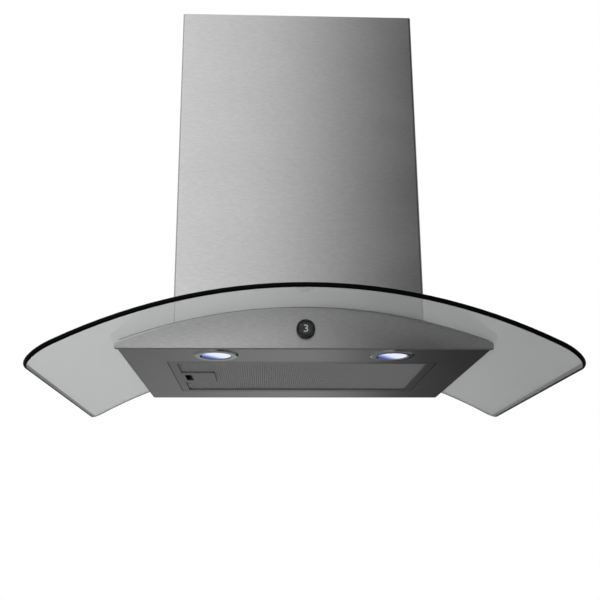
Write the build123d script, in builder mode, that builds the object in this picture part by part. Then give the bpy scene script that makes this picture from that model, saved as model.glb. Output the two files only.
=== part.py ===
from build123d import *

import math
import os

# A wall-hung chimney hood with a bent glass canopy.
#
# X runs from left to right as seen from the front, Y runs towards the wall and Z is up.
# The wall is the plane Y = 0.  The origin is the centre of the four holes that hang
# the hood on the wall.  All sizes are in millimetres.
#
# The canopy is bent about one axis that runs front to back.  Whatever lies under or on
# the glass is drawn on the same axis, so an arched sheet is named by its radius.

# ---------------------------------------------------------------------------
# Driving dimensions
# ---------------------------------------------------------------------------

# Hanging
hang_height = 205.0  # wall holes above the flat underside
wall_hole_spacing_x = 300.0
wall_hole_spacing_z = 160.0
wall_hole_radius = 4.0
wall_gap = 1.0  # glass and chimney stay this far off the wall

# Glass canopy
glass_width = 767.0
glass_depth = 507.0
glass_thickness = 7.0
glass_bend_radius = 744.0  # of the lower face
glass_front_corner = 50.0
glass_rear_corner = 20.0
glass_edge_radius = 3.0  # ground round, above and below
notch_clearance = 4.0  # around the blower housing
notch_corner = 10.0

# Steel body under the glass
body_width = 540.0
body_depth = 410.0
body_end_height = 12.8  # underside to glass at the two ends
fascia_overhang = 3.6  # beyond the side panels, at each end
sheet = 1.2
fold_inner_radius = 0.8
corner_inner_radius = 1.8
lip_width = 4.0
flange_width = 18.0
tray_flange_height = 6.0
seam_gap = 0.3  # between the edges of neighbouring sheets
seat_gap = 0.15  # between sheets that lie on each other

# Seals
gasket_thickness = 1.0
gasket_width = 8.0
gasket_inset = 3.0
foot_seal_thickness = 1.0
foot_seal_width = 4.0

# Rivets between the flanges and the deck
rivet_radius = 1.6
rivet_head_radius = 3.0
rivet_head_height = 0.6
rivet_setback = 14.5  # from the outside of the body
front_rivet_pitch = 96.0
front_rivet_count = 5
side_rivet_pitch = 120.0
side_rivet_count = 3

# Fan
impeller_radius = 84.0
impeller_width = 92.0
blade_ring_width = 16.0
blade_count = 36
blade_thickness = 1.0
end_ring_thickness = 2.0
hub_disc_thickness = 2.5
hub_radius = 14.0
hub_length = 16.0
scroll_clearance = 8.0  # impeller to tongue
scroll_growth = 36.0  # from the tongue round to the outlet
scroll_wall = 2.0
scroll_depth = 110.0
scroll_side_gap = 8.0  # scroll to housing, at its left
scroll_deck_gap = 14.0
tongue_angle = 60.0
inlet_radius = 72.0
inlet_gap = 29.0  # free air in front of and behind the scroll
outlet_rise = 148.0  # impeller axis to the top of the scroll
outlet_flange_side = 164.0
outlet_flange_thickness = 3.0

# Motor
motor_radius = 42.0
motor_length = 54.0
motor_wall = 2.5
shaft_radius = 4.0
bearing_outer_radius = 9.0
bearing_length = 10.0
running_clearance = 0.05
spider_thickness = 2.5
spider_ring_width = 12.0
spider_arm_width = 14.0
motor_boss_radius = 20.0

# Outlet collar and its two flaps
duct_radius = 75.0
collar_wall = 2.0
collar_height = 48.0
collar_screw_offset = 72.0  # from the duct axis, along X and along Y
flap_height = 18.0  # flap pin above the housing
flap_thickness = 1.2
flap_rim_gap = 1.5
flap_knuckle_radius = 3.0
flap_knuckle_length = 18.0
flap_knuckle_gap = 0.8
flap_edge_gap = 0.5
pin_radius = 1.5
ledge_width = 5.0
ledge_height = 3.0
stop_gap = 0.3

# Chimney
chimney_width = 432.0
chimney_depth = 196.0
chimney_height = 700.0  # top above the flat underside
chimney_sheet = 1.0
chimney_flange = 12.0
chimney_fold_radius = 4.0  # outside of the lower section
section_gap = 1.5  # between the lower and the upper section
upper_length = 540.0
slide_gap = 0.3
pad_width = 12.0
pad_height = 30.0
pad_drop = 10.0
vent_count = 8
vent_length = 70.0
vent_height = 4.0
vent_pitch = 11.0
vent_drop = 60.0
wall_bracket_height = 36.0
wall_bracket_sheet = 1.5
wall_bracket_ear = 34.0
wall_slot_spacing = 300.0
wall_slot_length = 14.0
wall_slot_radius = 3.0
side_bracket_height = 18.0
side_bracket_width = 30.0
side_bracket_sheet = 1.5
side_bracket_drop = 60.0  # below the upper section, as it rests

# Grease filter
filter_front = 87.0  # opening behind the fascia
filter_rear = 341.0
filter_width = 416.0
filter_gap = 1.0
filter_height = 9.0
filter_bar = 12.5
filter_groove_depth = 4.0
filter_skin = 2.2
mesh_thickness = 1.0
mesh_fit = 0.2
mesh_columns = 26
mesh_rows = 11
mesh_strand = 2.4
hinge_inset = 7.2  # hinge pin inside the filter's right edge
hinge_height = 3.2
hinge_pin_radius = 1.5
hinge_pin_bite = 8.0
hinge_ear_height = 8.0
hinge_ear_width = 12.0
hinge_foot = 10.0

# Filter latch
latch_width = 53.0
latch_length = 78.0
latch_wall = 1.2
latch_travel = 6.0
latch_bite = 4.5  # bolt over the panel beside the opening
finger_slot_width = 11.5
finger_slot_length = 47.0
finger_slot_edge = 4.0
latch_arm_width = 7.0
latch_arm_thickness = 2.4
latch_grip_height = 5.0
latch_slide_gap = 0.4
spring_wire_radius = 0.4
spring_coil_radius = 2.0
spring_turns = 7

# Lamps
lamp_x = 130.5
lamp_setback = 40.0  # behind the fascia
lamp_hole_radius = 28.0
lamp_bezel_radius = 32.8
lamp_bezel_height = 2.4
lamp_lens_radius = 21.8
lamp_lens_thickness = 3.0
lamp_neck_height = 8.0
lamp_neck_wall = 2.0
lamp_can_height = 24.0
lamp_can_wall = 1.5
lamp_fin_count = 16
lamp_fin_depth = 2.0
lamp_board_thickness = 1.6
lamp_fit = 0.3
clip_width = 9.0
clip_thickness = 0.6
clip_reach = 15.0
clip_rise = 14.0

# Control
control_height = 29.0  # centre above the underside
dial_radius = 13.6
dial_depth = 7.6
dial_gap = 0.6  # dial to fascia
dial_edge_radius = 1.2
sleeve_radius = 10.6
sleeve_wall = 0.9
button_clearance = 0.15
button_travel = 1.2
button_recess = 0.5
button_thickness = 3.0
button_dome = 0.5
stem_radius = 3.0
control_box_width = 54.0
control_box_height = 32.0
control_box_depth = 22.0
control_box_wall = 1.6
board_thickness = 1.6
switch_height = 3.0

# Electrics
driver_width = 44.0
driver_length = 58.0
driver_height = 21.0
driver_x = 56.0
lead_radius = 1.6
lead_bend = 5.0
lead_level = 40.0
terminal_width = 66.0
terminal_length = 84.0
terminal_height = 38.0
terminal_wall = 2.0
gland_bore_radius = 4.5
gland_body_radius = 9.0
gland_length = 26.0
gland_thread_radius = 7.5
capacitor_radius = 16.0
capacitor_length = 58.0

# Screws
screw_radius = 2.0
screw_head_radius = 3.8
screw_head_height = 2.2
screw_length = 8.0
screw_hole_clearance = 0.3
bolt_radius = 3.0
bolt_head_radius = 7.5
bolt_head_height = 3.2
bush_wall = 1.4
bush_flange_radius = 7.5
bush_flange_thickness = 0.8
nut_radius = 5.8
nut_height = 5.0
bolt_setback_front = 30.0  # from the front of the notch
bolt_setback_rear = 36.0  # from the wall

# ---------------------------------------------------------------------------
# Values that follow from them
# ---------------------------------------------------------------------------

body_half = body_width / 2
fascia_half = body_half + fascia_overhang
body_sagitta = glass_bend_radius - math.sqrt(glass_bend_radius**2 - body_half**2)
underside_z = -hang_height
glass_rise = body_end_height + body_sagitta
bend_axis_z = underside_z + glass_rise - glass_bend_radius

glass_top_radius = glass_bend_radius + glass_thickness
seat_radius = glass_bend_radius - gasket_thickness
deck_top_radius = seat_radius - sheet - seat_gap
deck_low_radius = deck_top_radius - sheet
fold_outer_radius = fold_inner_radius + sheet
corner_outer_radius = corner_inner_radius + sheet
panel_top_z = underside_z + sheet
fascia_inner_y = -(body_depth - sheet)


def arch_height(radius, x=0.0):
    """Height of the arched surface of the given radius at the distance x from the middle."""
    return bend_axis_z + math.sqrt(radius**2 - x**2)


def arch_band(inner, outer, x_from, x_to):
    """Face in an XZ sketch between two arcs on the bend axis, with upright ends."""
    x_mid = (x_from + x_to) / 2
    with BuildLine() as band:
        ThreePointArc(
            (x_from, arch_height(inner, x_from)),
            (x_mid, arch_height(inner, x_mid)),
            (x_to, arch_height(inner, x_to)),
        )
        Line((x_to, arch_height(inner, x_to)), (x_to, arch_height(outer, x_to)))
        ThreePointArc(
            (x_to, arch_height(outer, x_to)),
            (x_mid, arch_height(outer, x_mid)),
            (x_from, arch_height(outer, x_from)),
        )
        Line((x_from, arch_height(outer, x_from)), (x_from, arch_height(inner, x_from)))
    make_face(band.edges())


def body_outline(outer_half, inset, corner):
    """Arched outline of the steel body in an XZ sketch, drawn inset with rounded corners."""
    half = outer_half - inset
    base = underside_z + inset
    top = seat_radius - inset
    with BuildLine() as outline:
        Line((-half, base), (half, base))
        Line((half, base), (half, arch_height(top, half)))
        ThreePointArc(
            (half, arch_height(top, half)),
            (0, arch_height(top)),
            (-half, arch_height(top, half)),
        )
        Line((-half, arch_height(top, half)), (-half, base))
    make_face(outline.edges())
    fillet(vertices(), corner)


def cut_below_arch(radius, half_width, y_front, y_rear):
    """Removes what lies under the arched surface of the given radius."""
    with BuildSketch(Plane.XZ.offset(-y_rear)) as region:
        base = arch_height(radius, half_width) - radius
        with BuildLine():
            ThreePointArc(
                (-half_width, arch_height(radius, half_width)),
                (0, arch_height(radius)),
                (half_width, arch_height(radius, half_width)),
            )
            Line((half_width, arch_height(radius, half_width)), (half_width, base))
            Line((half_width, base), (-half_width, base))
            Line((-half_width, base), (-half_width, arch_height(radius, half_width)))
        make_face()
    extrude(region.sketch, amount=y_rear - y_front, mode=Mode.SUBTRACT)


def box_between(low, high, mode=Mode.ADD):
    """Box between two corners."""
    with BuildSketch(Plane.XY.offset(low[2])) as base:
        with Locations(((low[0] + high[0]) / 2, (low[1] + high[1]) / 2)):
            Rectangle(high[0] - low[0], high[1] - low[1])
    extrude(base.sketch, amount=high[2] - low[2], mode=mode)


def rod(planes, radius, length, mode=Mode.ADD):
    """Round rod of the given length along the normal of each plane."""
    with BuildSketch(*planes) as section:
        Circle(radius)
    extrude(section.sketch, amount=length, mode=mode)


def arch_plane(radius, x, y):
    """Plane on the arched surface at x and y, with its normal square to the surface."""
    return Plane(
        origin=(x, y, arch_height(radius, x)),
        x_dir=(0, 1, 0),
        z_dir=(x, 0, arch_height(radius, x) - bend_axis_z),
    )


def wall_plane(x, y, z):
    """Plane at a point, with its normal towards the wall."""
    return Plane(origin=(x, y, z), x_dir=(1, 0, 0), z_dir=(0, 1, 0))


def front_plane(x, y, z):
    """Plane at a point, with its normal towards the front."""
    return Plane(origin=(x, y, z), x_dir=(1, 0, 0), z_dir=(0, -1, 0))


def side_plane(x, y, z, side):
    """Plane at a point, with its normal to the right for side 1 and to the left for -1."""
    return Plane(origin=(x, y, z), x_dir=(0, 1, 0), z_dir=(side, 0, 0))


def screws(planes, length=screw_length):
    """Pan-head screws, with each head standing on its plane."""
    rod(planes, screw_head_radius, screw_head_height)
    rod(planes, screw_radius, -length)
    crowns = [edge for edge in edges() if abs(edge.length - math.tau * screw_head_radius) < 0.01]
    tops = [edge for edge in crowns if on_crown(edge, planes)]
    fillet(tops, screw_head_height * 0.4)


def on_crown(edge, planes):
    """Says whether a head's edge lies at the top of the head."""
    middle = edge.arc_center
    return any(
        (middle - (plane.origin + plane.z_dir * screw_head_height)).length < 0.01
        for plane in planes
    )


def screw_holes(planes):
    """Clearance holes for screws, through the sheet under each plane."""
    rod(planes, screw_radius + screw_hole_clearance, -screw_length, mode=Mode.SUBTRACT)


# ---------------------------------------------------------------------------
# Fan layout, which sets the size of the blower housing
# ---------------------------------------------------------------------------

tongue_radius = impeller_radius + scroll_clearance
scroll_end_radius = tongue_radius + scroll_growth


def scroll_radius(angle):
    """Inner radius of the scroll at an angle in degrees, which grows from the tongue round."""
    return tongue_radius + scroll_growth * (angle - tongue_angle) / (360 - tongue_angle)


outlet_half = outlet_flange_side / 2 - 10.0
fan_x = outlet_half - scroll_end_radius
fan_z = arch_height(deck_top_radius) + scroll_deck_gap + scroll_wall + scroll_radius(270)
scroll_top_z = fan_z + outlet_rise

housing_half = scroll_radius(180) - fan_x + scroll_wall + scroll_side_gap
housing_depth = scroll_depth + 2 * inlet_gap + 2 * sheet
housing_top_z = scroll_top_z + outlet_flange_thickness + seat_gap + sheet
duct_y = -housing_depth / 2
scroll_front_y = duct_y - scroll_depth / 2
scroll_rear_y = duct_y + scroll_depth / 2

chimney_half = chimney_width / 2
chimney_front_y = -(wall_gap + chimney_depth)
chimney_top_z = underside_z + chimney_height
upper_half = chimney_half - chimney_sheet - section_gap
upper_front_y = chimney_front_y + chimney_sheet + section_gap
upper_rear_y = -(wall_gap + chimney_sheet + section_gap)
upper_bottom_z = chimney_top_z - upper_length

notch_half = housing_half + notch_clearance
notch_front_y = -(housing_depth + notch_clearance)
bolt_x = (notch_half + chimney_half - chimney_sheet) / 2
bolt_ys = (-bolt_setback_rear, notch_front_y + bolt_setback_front)
bolt_places = [(side * bolt_x, y) for side in (-1, 1) for y in bolt_ys]
bolt_planes = [arch_plane(glass_top_radius, x, y) for x, y in bolt_places]

# ---------------------------------------------------------------------------
# Glass canopy, its seal and its bolts
# ---------------------------------------------------------------------------

# One sheet of bent glass with rounded edges.  A notch in its rear edge clears the blower.
glass_half_angle = math.asin(glass_width / 2 / glass_top_radius)


def glass_point(radius, angle):
    """Point of the canopy's section at an angle from the middle."""
    return (radius * math.sin(angle), bend_axis_z + radius * math.cos(angle))


glass_rear_y = -wall_gap
glass_front_y = -(wall_gap + glass_depth)

with BuildPart() as glass_canopy:
    with BuildSketch(Plane.XZ.offset(-glass_rear_y)):
        with BuildLine():
            ThreePointArc(
                glass_point(glass_bend_radius, -glass_half_angle),
                glass_point(glass_bend_radius, 0),
                glass_point(glass_bend_radius, glass_half_angle),
            )
            Line(
                glass_point(glass_bend_radius, glass_half_angle),
                glass_point(glass_top_radius, glass_half_angle),
            )
            ThreePointArc(
                glass_point(glass_top_radius, glass_half_angle),
                glass_point(glass_top_radius, 0),
                glass_point(glass_top_radius, -glass_half_angle),
            )
            Line(
                glass_point(glass_top_radius, -glass_half_angle),
                glass_point(glass_bend_radius, -glass_half_angle),
            )
        make_face()
    extrude(amount=glass_depth)
    short_edges = edges().filter_by(lambda edge: abs(edge.length - glass_thickness) < 0.01)
    fillet(short_edges.group_by(Axis.Y)[0], glass_front_corner)
    short_edges = edges().filter_by(lambda edge: abs(edge.length - glass_thickness) < 0.01)
    fillet(short_edges.group_by(Axis.Y)[-1], glass_rear_corner)
    broad_faces = faces().sort_by(SortBy.AREA)[-2:]
    fillet(broad_faces.edges(), glass_edge_radius)
    with BuildSketch(Plane.XY.offset(arch_height(glass_bend_radius, notch_half))):
        with Locations((0, notch_front_y / 2)):
            Rectangle(2 * notch_half, -notch_front_y)
        fillet(vertices().group_by(Axis.Y)[0], notch_corner)
    extrude(amount=glass_rise + glass_thickness, both=True, mode=Mode.SUBTRACT)
    bush_bore = bolt_radius + bush_wall + seat_gap
    rod(bolt_planes, bush_bore, -2 * glass_thickness, mode=Mode.SUBTRACT)
glass_canopy.part.label = "glass_canopy"

# The seal is a flat strip that runs round the top of the body, under the glass.
with BuildPart() as glass_gasket:
    gasket_half = body_half - gasket_inset
    gasket_front_y = -(body_depth - gasket_inset)
    gasket_rear_y = -gasket_inset
    with BuildSketch(Plane.XZ.offset(-gasket_rear_y)):
        arch_band(seat_radius + seat_gap, glass_bend_radius - seat_gap, -gasket_half, gasket_half)
    extrude(amount=gasket_rear_y - gasket_front_y)
    box_between(
        (-gasket_half + gasket_width, gasket_front_y + gasket_width, underside_z),
        (gasket_half - gasket_width, gasket_rear_y - gasket_width, chimney_top_z),
        mode=Mode.SUBTRACT,
    )
    box_between(
        (-notch_half, gasket_rear_y - 2 * gasket_width, underside_z),
        (notch_half, 0, chimney_top_z),
        mode=Mode.SUBTRACT,
    )
glass_gasket.part.label = "glass_gasket"

# Four bolts clamp the glass to the deck beside the blower, where the chimney hides them.
clamp_depth = glass_top_radius - deck_low_radius
nut_planes = [plane.offset(-clamp_depth - seat_gap) for plane in bolt_planes]
bush_planes = [plane.offset(seat_gap) for plane in bolt_planes]
washer_planes = [plane.offset(bush_flange_thickness + seat_gap) for plane in bush_planes]

with BuildPart() as glass_bolts:
    rod(washer_planes, bolt_head_radius, bolt_head_height)
    rod(washer_planes, bolt_radius, -(clamp_depth + nut_height + 3 * bush_flange_thickness))
glass_bolts.part.label = "glass_bolts"

# Each bush lines its hole down to the deck, and its flange keeps the bolt head off the glass.
with BuildPart() as glass_bushes:
    rod(bush_planes, bush_flange_radius, bush_flange_thickness)
    rod(bush_planes, bolt_radius + bush_wall, deck_top_radius - glass_top_radius)
    rod(bush_planes, bolt_radius + seat_gap, -2 * glass_thickness, mode=Mode.SUBTRACT)
    rod(bush_planes, bolt_radius + seat_gap, 2 * glass_thickness, mode=Mode.SUBTRACT)
glass_bushes.part.label = "glass_bushes"

with BuildPart() as glass_nuts:
    with BuildSketch(*nut_planes):
        RegularPolygon(nut_radius, 6)
        Circle(bolt_radius + seat_gap, mode=Mode.SUBTRACT)
    extrude(amount=-nut_height)
glass_nuts.part.label = "glass_nuts"

# ---------------------------------------------------------------------------
# Steel body
# ---------------------------------------------------------------------------

front_rivets = [
    ((index - (front_rivet_count - 1) / 2) * front_rivet_pitch, -(body_depth - rivet_setback))
    for index in range(front_rivet_count)
]
side_rivets = [
    (
        side * (body_half - rivet_setback),
        -body_depth / 2 + (index - (side_rivet_count - 1) / 2) * side_rivet_pitch,
    )
    for side in (-1, 1)
    for index in range(side_rivet_count)
]
rear_rivets = [(side * (notch_half + body_half) / 2, -rivet_setback) for side in (-1, 1)]


def rivet_planes(places):
    """Planes of the deck rivets at the given places, on top of the flanges."""
    return [arch_plane(seat_radius, x, y) for x, y in places]


def rivet_holes(places):
    """Holes for the deck rivets at the given places."""
    starts = [plane.offset(gasket_thickness) for plane in rivet_planes(places)]
    rod(starts, rivet_radius + seat_gap, -4 * sheet - gasket_thickness, mode=Mode.SUBTRACT)


# The fascia is a shallow pressed pan.  Its top edge follows the glass and turns into a flange.
with BuildPart() as front_fascia:
    rim_y = body_depth - lip_width
    with BuildSketch(Plane.XZ.offset(rim_y)):
        body_outline(fascia_half, 0, corner_outer_radius)
    extrude(amount=lip_width)
    with BuildSketch(Plane.XZ.offset(rim_y)):
        body_outline(fascia_half, sheet, corner_inner_radius)
    extrude(amount=lip_width - sheet, mode=Mode.SUBTRACT)
    fillet(faces().sort_by(Axis.Y)[0].edges(), fold_outer_radius)
    flange_end = body_half - corner_outer_radius
    with BuildSketch(Plane.XZ.offset(body_depth - flange_width)):
        arch_band(seat_radius - sheet, seat_radius, -flange_end, flange_end)
    extrude(amount=flange_width - lip_width / 2)
    dial_plane = front_plane(0, -body_depth, underside_z + control_height)
    rod([dial_plane], sleeve_radius + seat_gap, -2 * sheet, mode=Mode.SUBTRACT)
    rivet_holes(front_rivets)
front_fascia.part.label = "front_fascia"

# Each side panel is one strip folded three times: lip, wall and flange.
side_front_y = -(body_depth - lip_width - seam_gap)
side_rear_y = -(lip_width + seam_gap)

with BuildPart() as side_panel_right:
    with BuildSketch(Plane.XZ.offset(-side_rear_y)):
        body_outline(body_half, 0, corner_outer_radius)
    extrude(amount=side_rear_y - side_front_y)
    with BuildSketch(Plane.XZ.offset(-side_rear_y)):
        body_outline(body_half, sheet, corner_inner_radius)
    extrude(amount=side_rear_y - side_front_y, mode=Mode.SUBTRACT)
    box_between(
        (-body_half, -body_depth, underside_z),
        (body_half - flange_width, 0, chimney_top_z),
        mode=Mode.SUBTRACT,
    )
    box_between(
        (-body_half, -body_depth, underside_z),
        (body_half - lip_width, 0, underside_z + 2 * sheet),
        mode=Mode.SUBTRACT,
    )
    box_between(
        (-body_half, -body_depth, underside_z + 2 * sheet),
        (body_half - corner_outer_radius, -(body_depth - flange_width - seam_gap), chimney_top_z),
        mode=Mode.SUBTRACT,
    )
    box_between(
        (-body_half, -flange_width - seam_gap, underside_z + 2 * sheet),
        (body_half - corner_outer_radius, 0, chimney_top_z),
        mode=Mode.SUBTRACT,
    )
    rivet_holes(side_rivets)
side_panel_right.part.label = "side_panel_right"

with BuildPart() as side_panel_left:
    mirror(side_panel_right.part, about=Plane.YZ)
side_panel_left.part.label = "side_panel_left"

# The rear panel is a pan like the fascia, plain where the blower stands behind the glass.
with BuildPart() as rear_panel:
    with BuildSketch(Plane.XZ):
        body_outline(body_half, 0, corner_outer_radius)
    extrude(amount=lip_width)
    with BuildSketch(Plane.XZ.offset(sheet)):
        body_outline(body_half, sheet, corner_inner_radius)
    extrude(amount=lip_width, mode=Mode.SUBTRACT)
    fillet(faces().sort_by(Axis.Y)[-1].edges(), fold_outer_radius)
    with BuildSketch(Plane.XZ.offset(lip_width / 2)):
        arch_band(seat_radius - sheet, seat_radius, -flange_end, flange_end)
    extrude(amount=flange_width - lip_width / 2)
    box_between(
        (-notch_half, -flange_width, underside_z + body_end_height),
        (notch_half, -sheet, chimney_top_z),
        mode=Mode.SUBTRACT,
    )
    rivet_holes(rear_rivets)
rear_panel.part.label = "rear_panel"

# The underside is a tray with low walls, holes for the lamps and a window for the filter.
tray_half = body_half - lip_width - seam_gap
tray_front_y = -(body_depth - lip_width - seam_gap)
tray_rear_y = -(lip_width + seam_gap)
filter_half = filter_width / 2
filter_front_y = -(body_depth - filter_front)
filter_rear_y = -(body_depth - filter_rear)
lamp_y = -(body_depth - lamp_setback)
lamp_planes = [Plane(origin=(side * lamp_x, lamp_y, underside_z)) for side in (-1, 1)]

with BuildPart() as underside_panel:
    box_between(
        (-tray_half, tray_front_y, underside_z),
        (tray_half, tray_rear_y, underside_z + tray_flange_height),
    )
    box_between(
        (-tray_half + sheet, tray_front_y + sheet, panel_top_z),
        (tray_half - sheet, tray_rear_y - sheet, underside_z + tray_flange_height),
        mode=Mode.SUBTRACT,
    )
    box_between(
        (-filter_half, filter_front_y, underside_z),
        (filter_half, filter_rear_y, panel_top_z),
        mode=Mode.SUBTRACT,
    )
    rod(lamp_planes, lamp_hole_radius, sheet, mode=Mode.SUBTRACT)
underside_panel.part.label = "underside_panel"

# The deck closes the body under the glass.  A square collar on it carries the blower housing.
deck_half = body_half - sheet - corner_inner_radius - seam_gap
deck_front_y = fascia_inner_y + seam_gap
deck_rear_y = -(sheet + seat_gap)
collar_half = housing_half - sheet - seat_gap
collar_front_y = -(housing_depth - sheet - seat_gap)
collar_rear_y = -(sheet + seat_gap)
collar_top_z = arch_height(glass_top_radius) + 2 * screw_head_radius + notch_clearance
collar_screw_z = collar_top_z - screw_head_radius - sheet

housing_front_y = -housing_depth
cover_flange = 3 * screw_head_radius
cover_screw_x = housing_half - sheet - cover_flange / 2
cover_screw_zs = (
    collar_screw_z,
    (collar_screw_z + housing_top_z) / 2,
    housing_top_z - 2 * cover_flange,
)
cover_screw_planes = [
    front_plane(side * cover_screw_x, housing_front_y, z)
    for side in (-1, 1)
    for z in cover_screw_zs
]
side_screw_ys = (duct_y - housing_depth / 4, duct_y + housing_depth / 4)
foot_screw_planes = [
    side_plane(side * housing_half, y, collar_screw_z, side)
    for side in (-1, 1)
    for y in side_screw_ys
]

with BuildPart() as top_deck:
    with BuildSketch(Plane.XZ.offset(-deck_rear_y)):
        arch_band(deck_low_radius, deck_top_radius, -deck_half, deck_half)
    extrude(amount=deck_rear_y - deck_front_y)
    box_between(
        (-collar_half, collar_front_y, arch_height(deck_low_radius, collar_half)),
        (collar_half, collar_rear_y, collar_top_z),
    )
    cut_below_arch(deck_low_radius, collar_half + sheet, collar_front_y - sheet, 0)
    box_between(
        (-collar_half + sheet, collar_front_y + sheet, underside_z),
        (collar_half - sheet, collar_rear_y - sheet, collar_top_z),
        mode=Mode.SUBTRACT,
    )
    rivet_holes(front_rivets + side_rivets + rear_rivets)
    rod(bolt_planes, bolt_radius + seat_gap, -clamp_depth - sheet, mode=Mode.SUBTRACT)
    screw_holes(foot_screw_planes + cover_screw_planes)
top_deck.part.label = "top_deck"

with BuildPart() as deck_rivets:
    rivet_places = front_rivets + side_rivets + rear_rivets
    head_planes = [plane.offset(seat_gap) for plane in rivet_planes(rivet_places)]
    rod(head_planes, rivet_head_radius, rivet_head_height)
    rod(head_planes, rivet_radius, -(2 * sheet + 3 * seat_gap + rivet_head_height))
deck_rivets.part.label = "deck_rivets"

# ---------------------------------------------------------------------------
# Blower housing and fan
# ---------------------------------------------------------------------------

housing_foot_radius = deck_top_radius + seam_gap
wall_hole_planes = [
    wall_plane(sx * wall_hole_spacing_x / 2, 0, sz * wall_hole_spacing_z / 2)
    for sx in (-1, 1)
    for sz in (-1, 1)
]
duct_planes = [Plane(origin=(0, duct_y, housing_top_z))]
collar_screw_planes = [
    Plane(origin=(sx * collar_screw_offset, duct_y + sy * collar_screw_offset, housing_top_z))
    for sx in (-1, 1)
    for sy in (-1, 1)
]
terminal_x = (outlet_flange_side / 2 + housing_half) / 2

# The housing is a back plate, two sides and a top, folded from one sheet and open below.
with BuildPart() as blower_housing:
    box_between(
        (-housing_half, housing_front_y + sheet, underside_z),
        (housing_half, 0, housing_top_z),
    )
    box_between(
        (-housing_half + sheet, housing_front_y + 2 * sheet, underside_z),
        (housing_half - sheet, -sheet, housing_top_z - sheet),
        mode=Mode.SUBTRACT,
    )
    box_between(
        (-housing_half + sheet + cover_flange, housing_front_y, underside_z),
        (housing_half - sheet - cover_flange, housing_front_y + 2 * sheet, housing_top_z - sheet),
        mode=Mode.SUBTRACT,
    )
    box_between(
        (-housing_half + sheet, housing_front_y, underside_z),
        (housing_half - sheet, housing_front_y + 2 * sheet, collar_top_z + seam_gap),
        mode=Mode.SUBTRACT,
    )
    cut_below_arch(housing_foot_radius, housing_half, housing_front_y, 0)
    cut_below_arch(seat_radius + seam_gap, housing_half, -sheet, 0)
    rod(wall_hole_planes, wall_hole_radius, -2 * sheet, mode=Mode.SUBTRACT)
    rod(duct_planes, duct_radius - collar_wall, -2 * sheet, mode=Mode.SUBTRACT)
    screw_holes(collar_screw_planes)
    screw_holes(cover_screw_planes)
    screw_holes(foot_screw_planes)
blower_housing.part.label = "blower_housing"

with BuildPart() as blower_cover:
    box_between(
        (-housing_half, housing_front_y, underside_z),
        (housing_half, housing_front_y + sheet - seat_gap, housing_top_z),
    )
    cut_below_arch(housing_foot_radius, housing_half, housing_front_y, 0)
    screw_holes(cover_screw_planes)
blower_cover.part.label = "blower_cover"

with BuildPart() as blower_screws:
    screws(cover_screw_planes + foot_screw_planes, screw_length * 0.8)
blower_screws.part.label = "blower_screws"

# The scroll grows from its tongue anticlockwise round to the outlet, which widens to the duct.
outlet_left = -outlet_half
outlet_right = fan_x + scroll_end_radius


def scroll_outline(wall):
    """Outline of the scroll in an XZ sketch, drawn outside the air passage by the wall."""
    angles = [tongue_angle + (360 - tongue_angle) * step / 8 for step in range(9)]
    turns = [math.radians(angle) for angle in angles]
    radii = [scroll_radius(angle) + wall for angle in angles]
    spiral = [
        (fan_x + radius * math.cos(turn), fan_z + radius * math.sin(turn))
        for radius, turn in zip(radii, turns)
    ]
    with BuildLine() as outline:
        Spline(*spiral)
        Line(spiral[-1], (outlet_right + wall, scroll_top_z))
        Line((outlet_right + wall, scroll_top_z), (outlet_left - wall, scroll_top_z))
        Line((outlet_left - wall, scroll_top_z), spiral[0])
    make_face(outline.edges())


fan_planes = [front_plane(fan_x, scroll_rear_y, fan_z)]

with BuildPart() as scroll_housing:
    with BuildSketch(Plane.XZ.offset(-scroll_rear_y)):
        scroll_outline(scroll_wall)
    extrude(amount=scroll_depth)
    flange_half = outlet_flange_side / 2
    box_between(
        (-flange_half, duct_y - flange_half, scroll_top_z),
        (flange_half, duct_y + flange_half, scroll_top_z + outlet_flange_thickness),
    )
    with BuildSketch(Plane.XZ.offset(scroll_wall - scroll_rear_y)):
        scroll_outline(0)
    extrude(amount=scroll_depth - 2 * scroll_wall, mode=Mode.SUBTRACT)
    box_between(
        (outlet_left, scroll_front_y + scroll_wall, scroll_top_z),
        (outlet_right, scroll_rear_y - scroll_wall, scroll_top_z + outlet_flange_thickness),
        mode=Mode.SUBTRACT,
    )
    rod(fan_planes, inlet_radius, scroll_depth, mode=Mode.SUBTRACT)
    screw_holes(collar_screw_planes)
scroll_housing.part.label = "scroll_housing"

# The inlet ring is a rounded mouth on the front of the scroll.
mouth_flare = scroll_clearance
ring_rear_y = scroll_front_y - seat_gap

with BuildPart() as inlet_ring:
    with BuildSketch(Plane.YZ.offset(fan_x)):
        with BuildLine():
            mouth = Polyline(
                (ring_rear_y, fan_z + inlet_radius + mouth_flare),
                (ring_rear_y, fan_z + inlet_radius),
                (ring_rear_y - mouth_flare, fan_z + inlet_radius + mouth_flare),
                (ring_rear_y - mouth_flare, fan_z + inlet_radius + mouth_flare + scroll_wall),
                (ring_rear_y - scroll_wall, fan_z + inlet_radius + mouth_flare + scroll_wall),
                (ring_rear_y, fan_z + inlet_radius + 2 * mouth_flare),
                close=True,
            )
        make_face()
    revolve(axis=Axis((fan_x, 0, fan_z), (0, 1, 0)))
inlet_ring.part.label = "inlet_ring"

# The impeller draws air from both sides.  Its blades stand between two end rings and a disc.
impeller_rear_y = duct_y + impeller_width / 2
impeller_front_y = duct_y - impeller_width / 2
hub_disc_y = impeller_front_y + impeller_width * 0.36
blade_inner = impeller_radius - blade_ring_width
blade_mid = impeller_radius - blade_ring_width / 2

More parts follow.
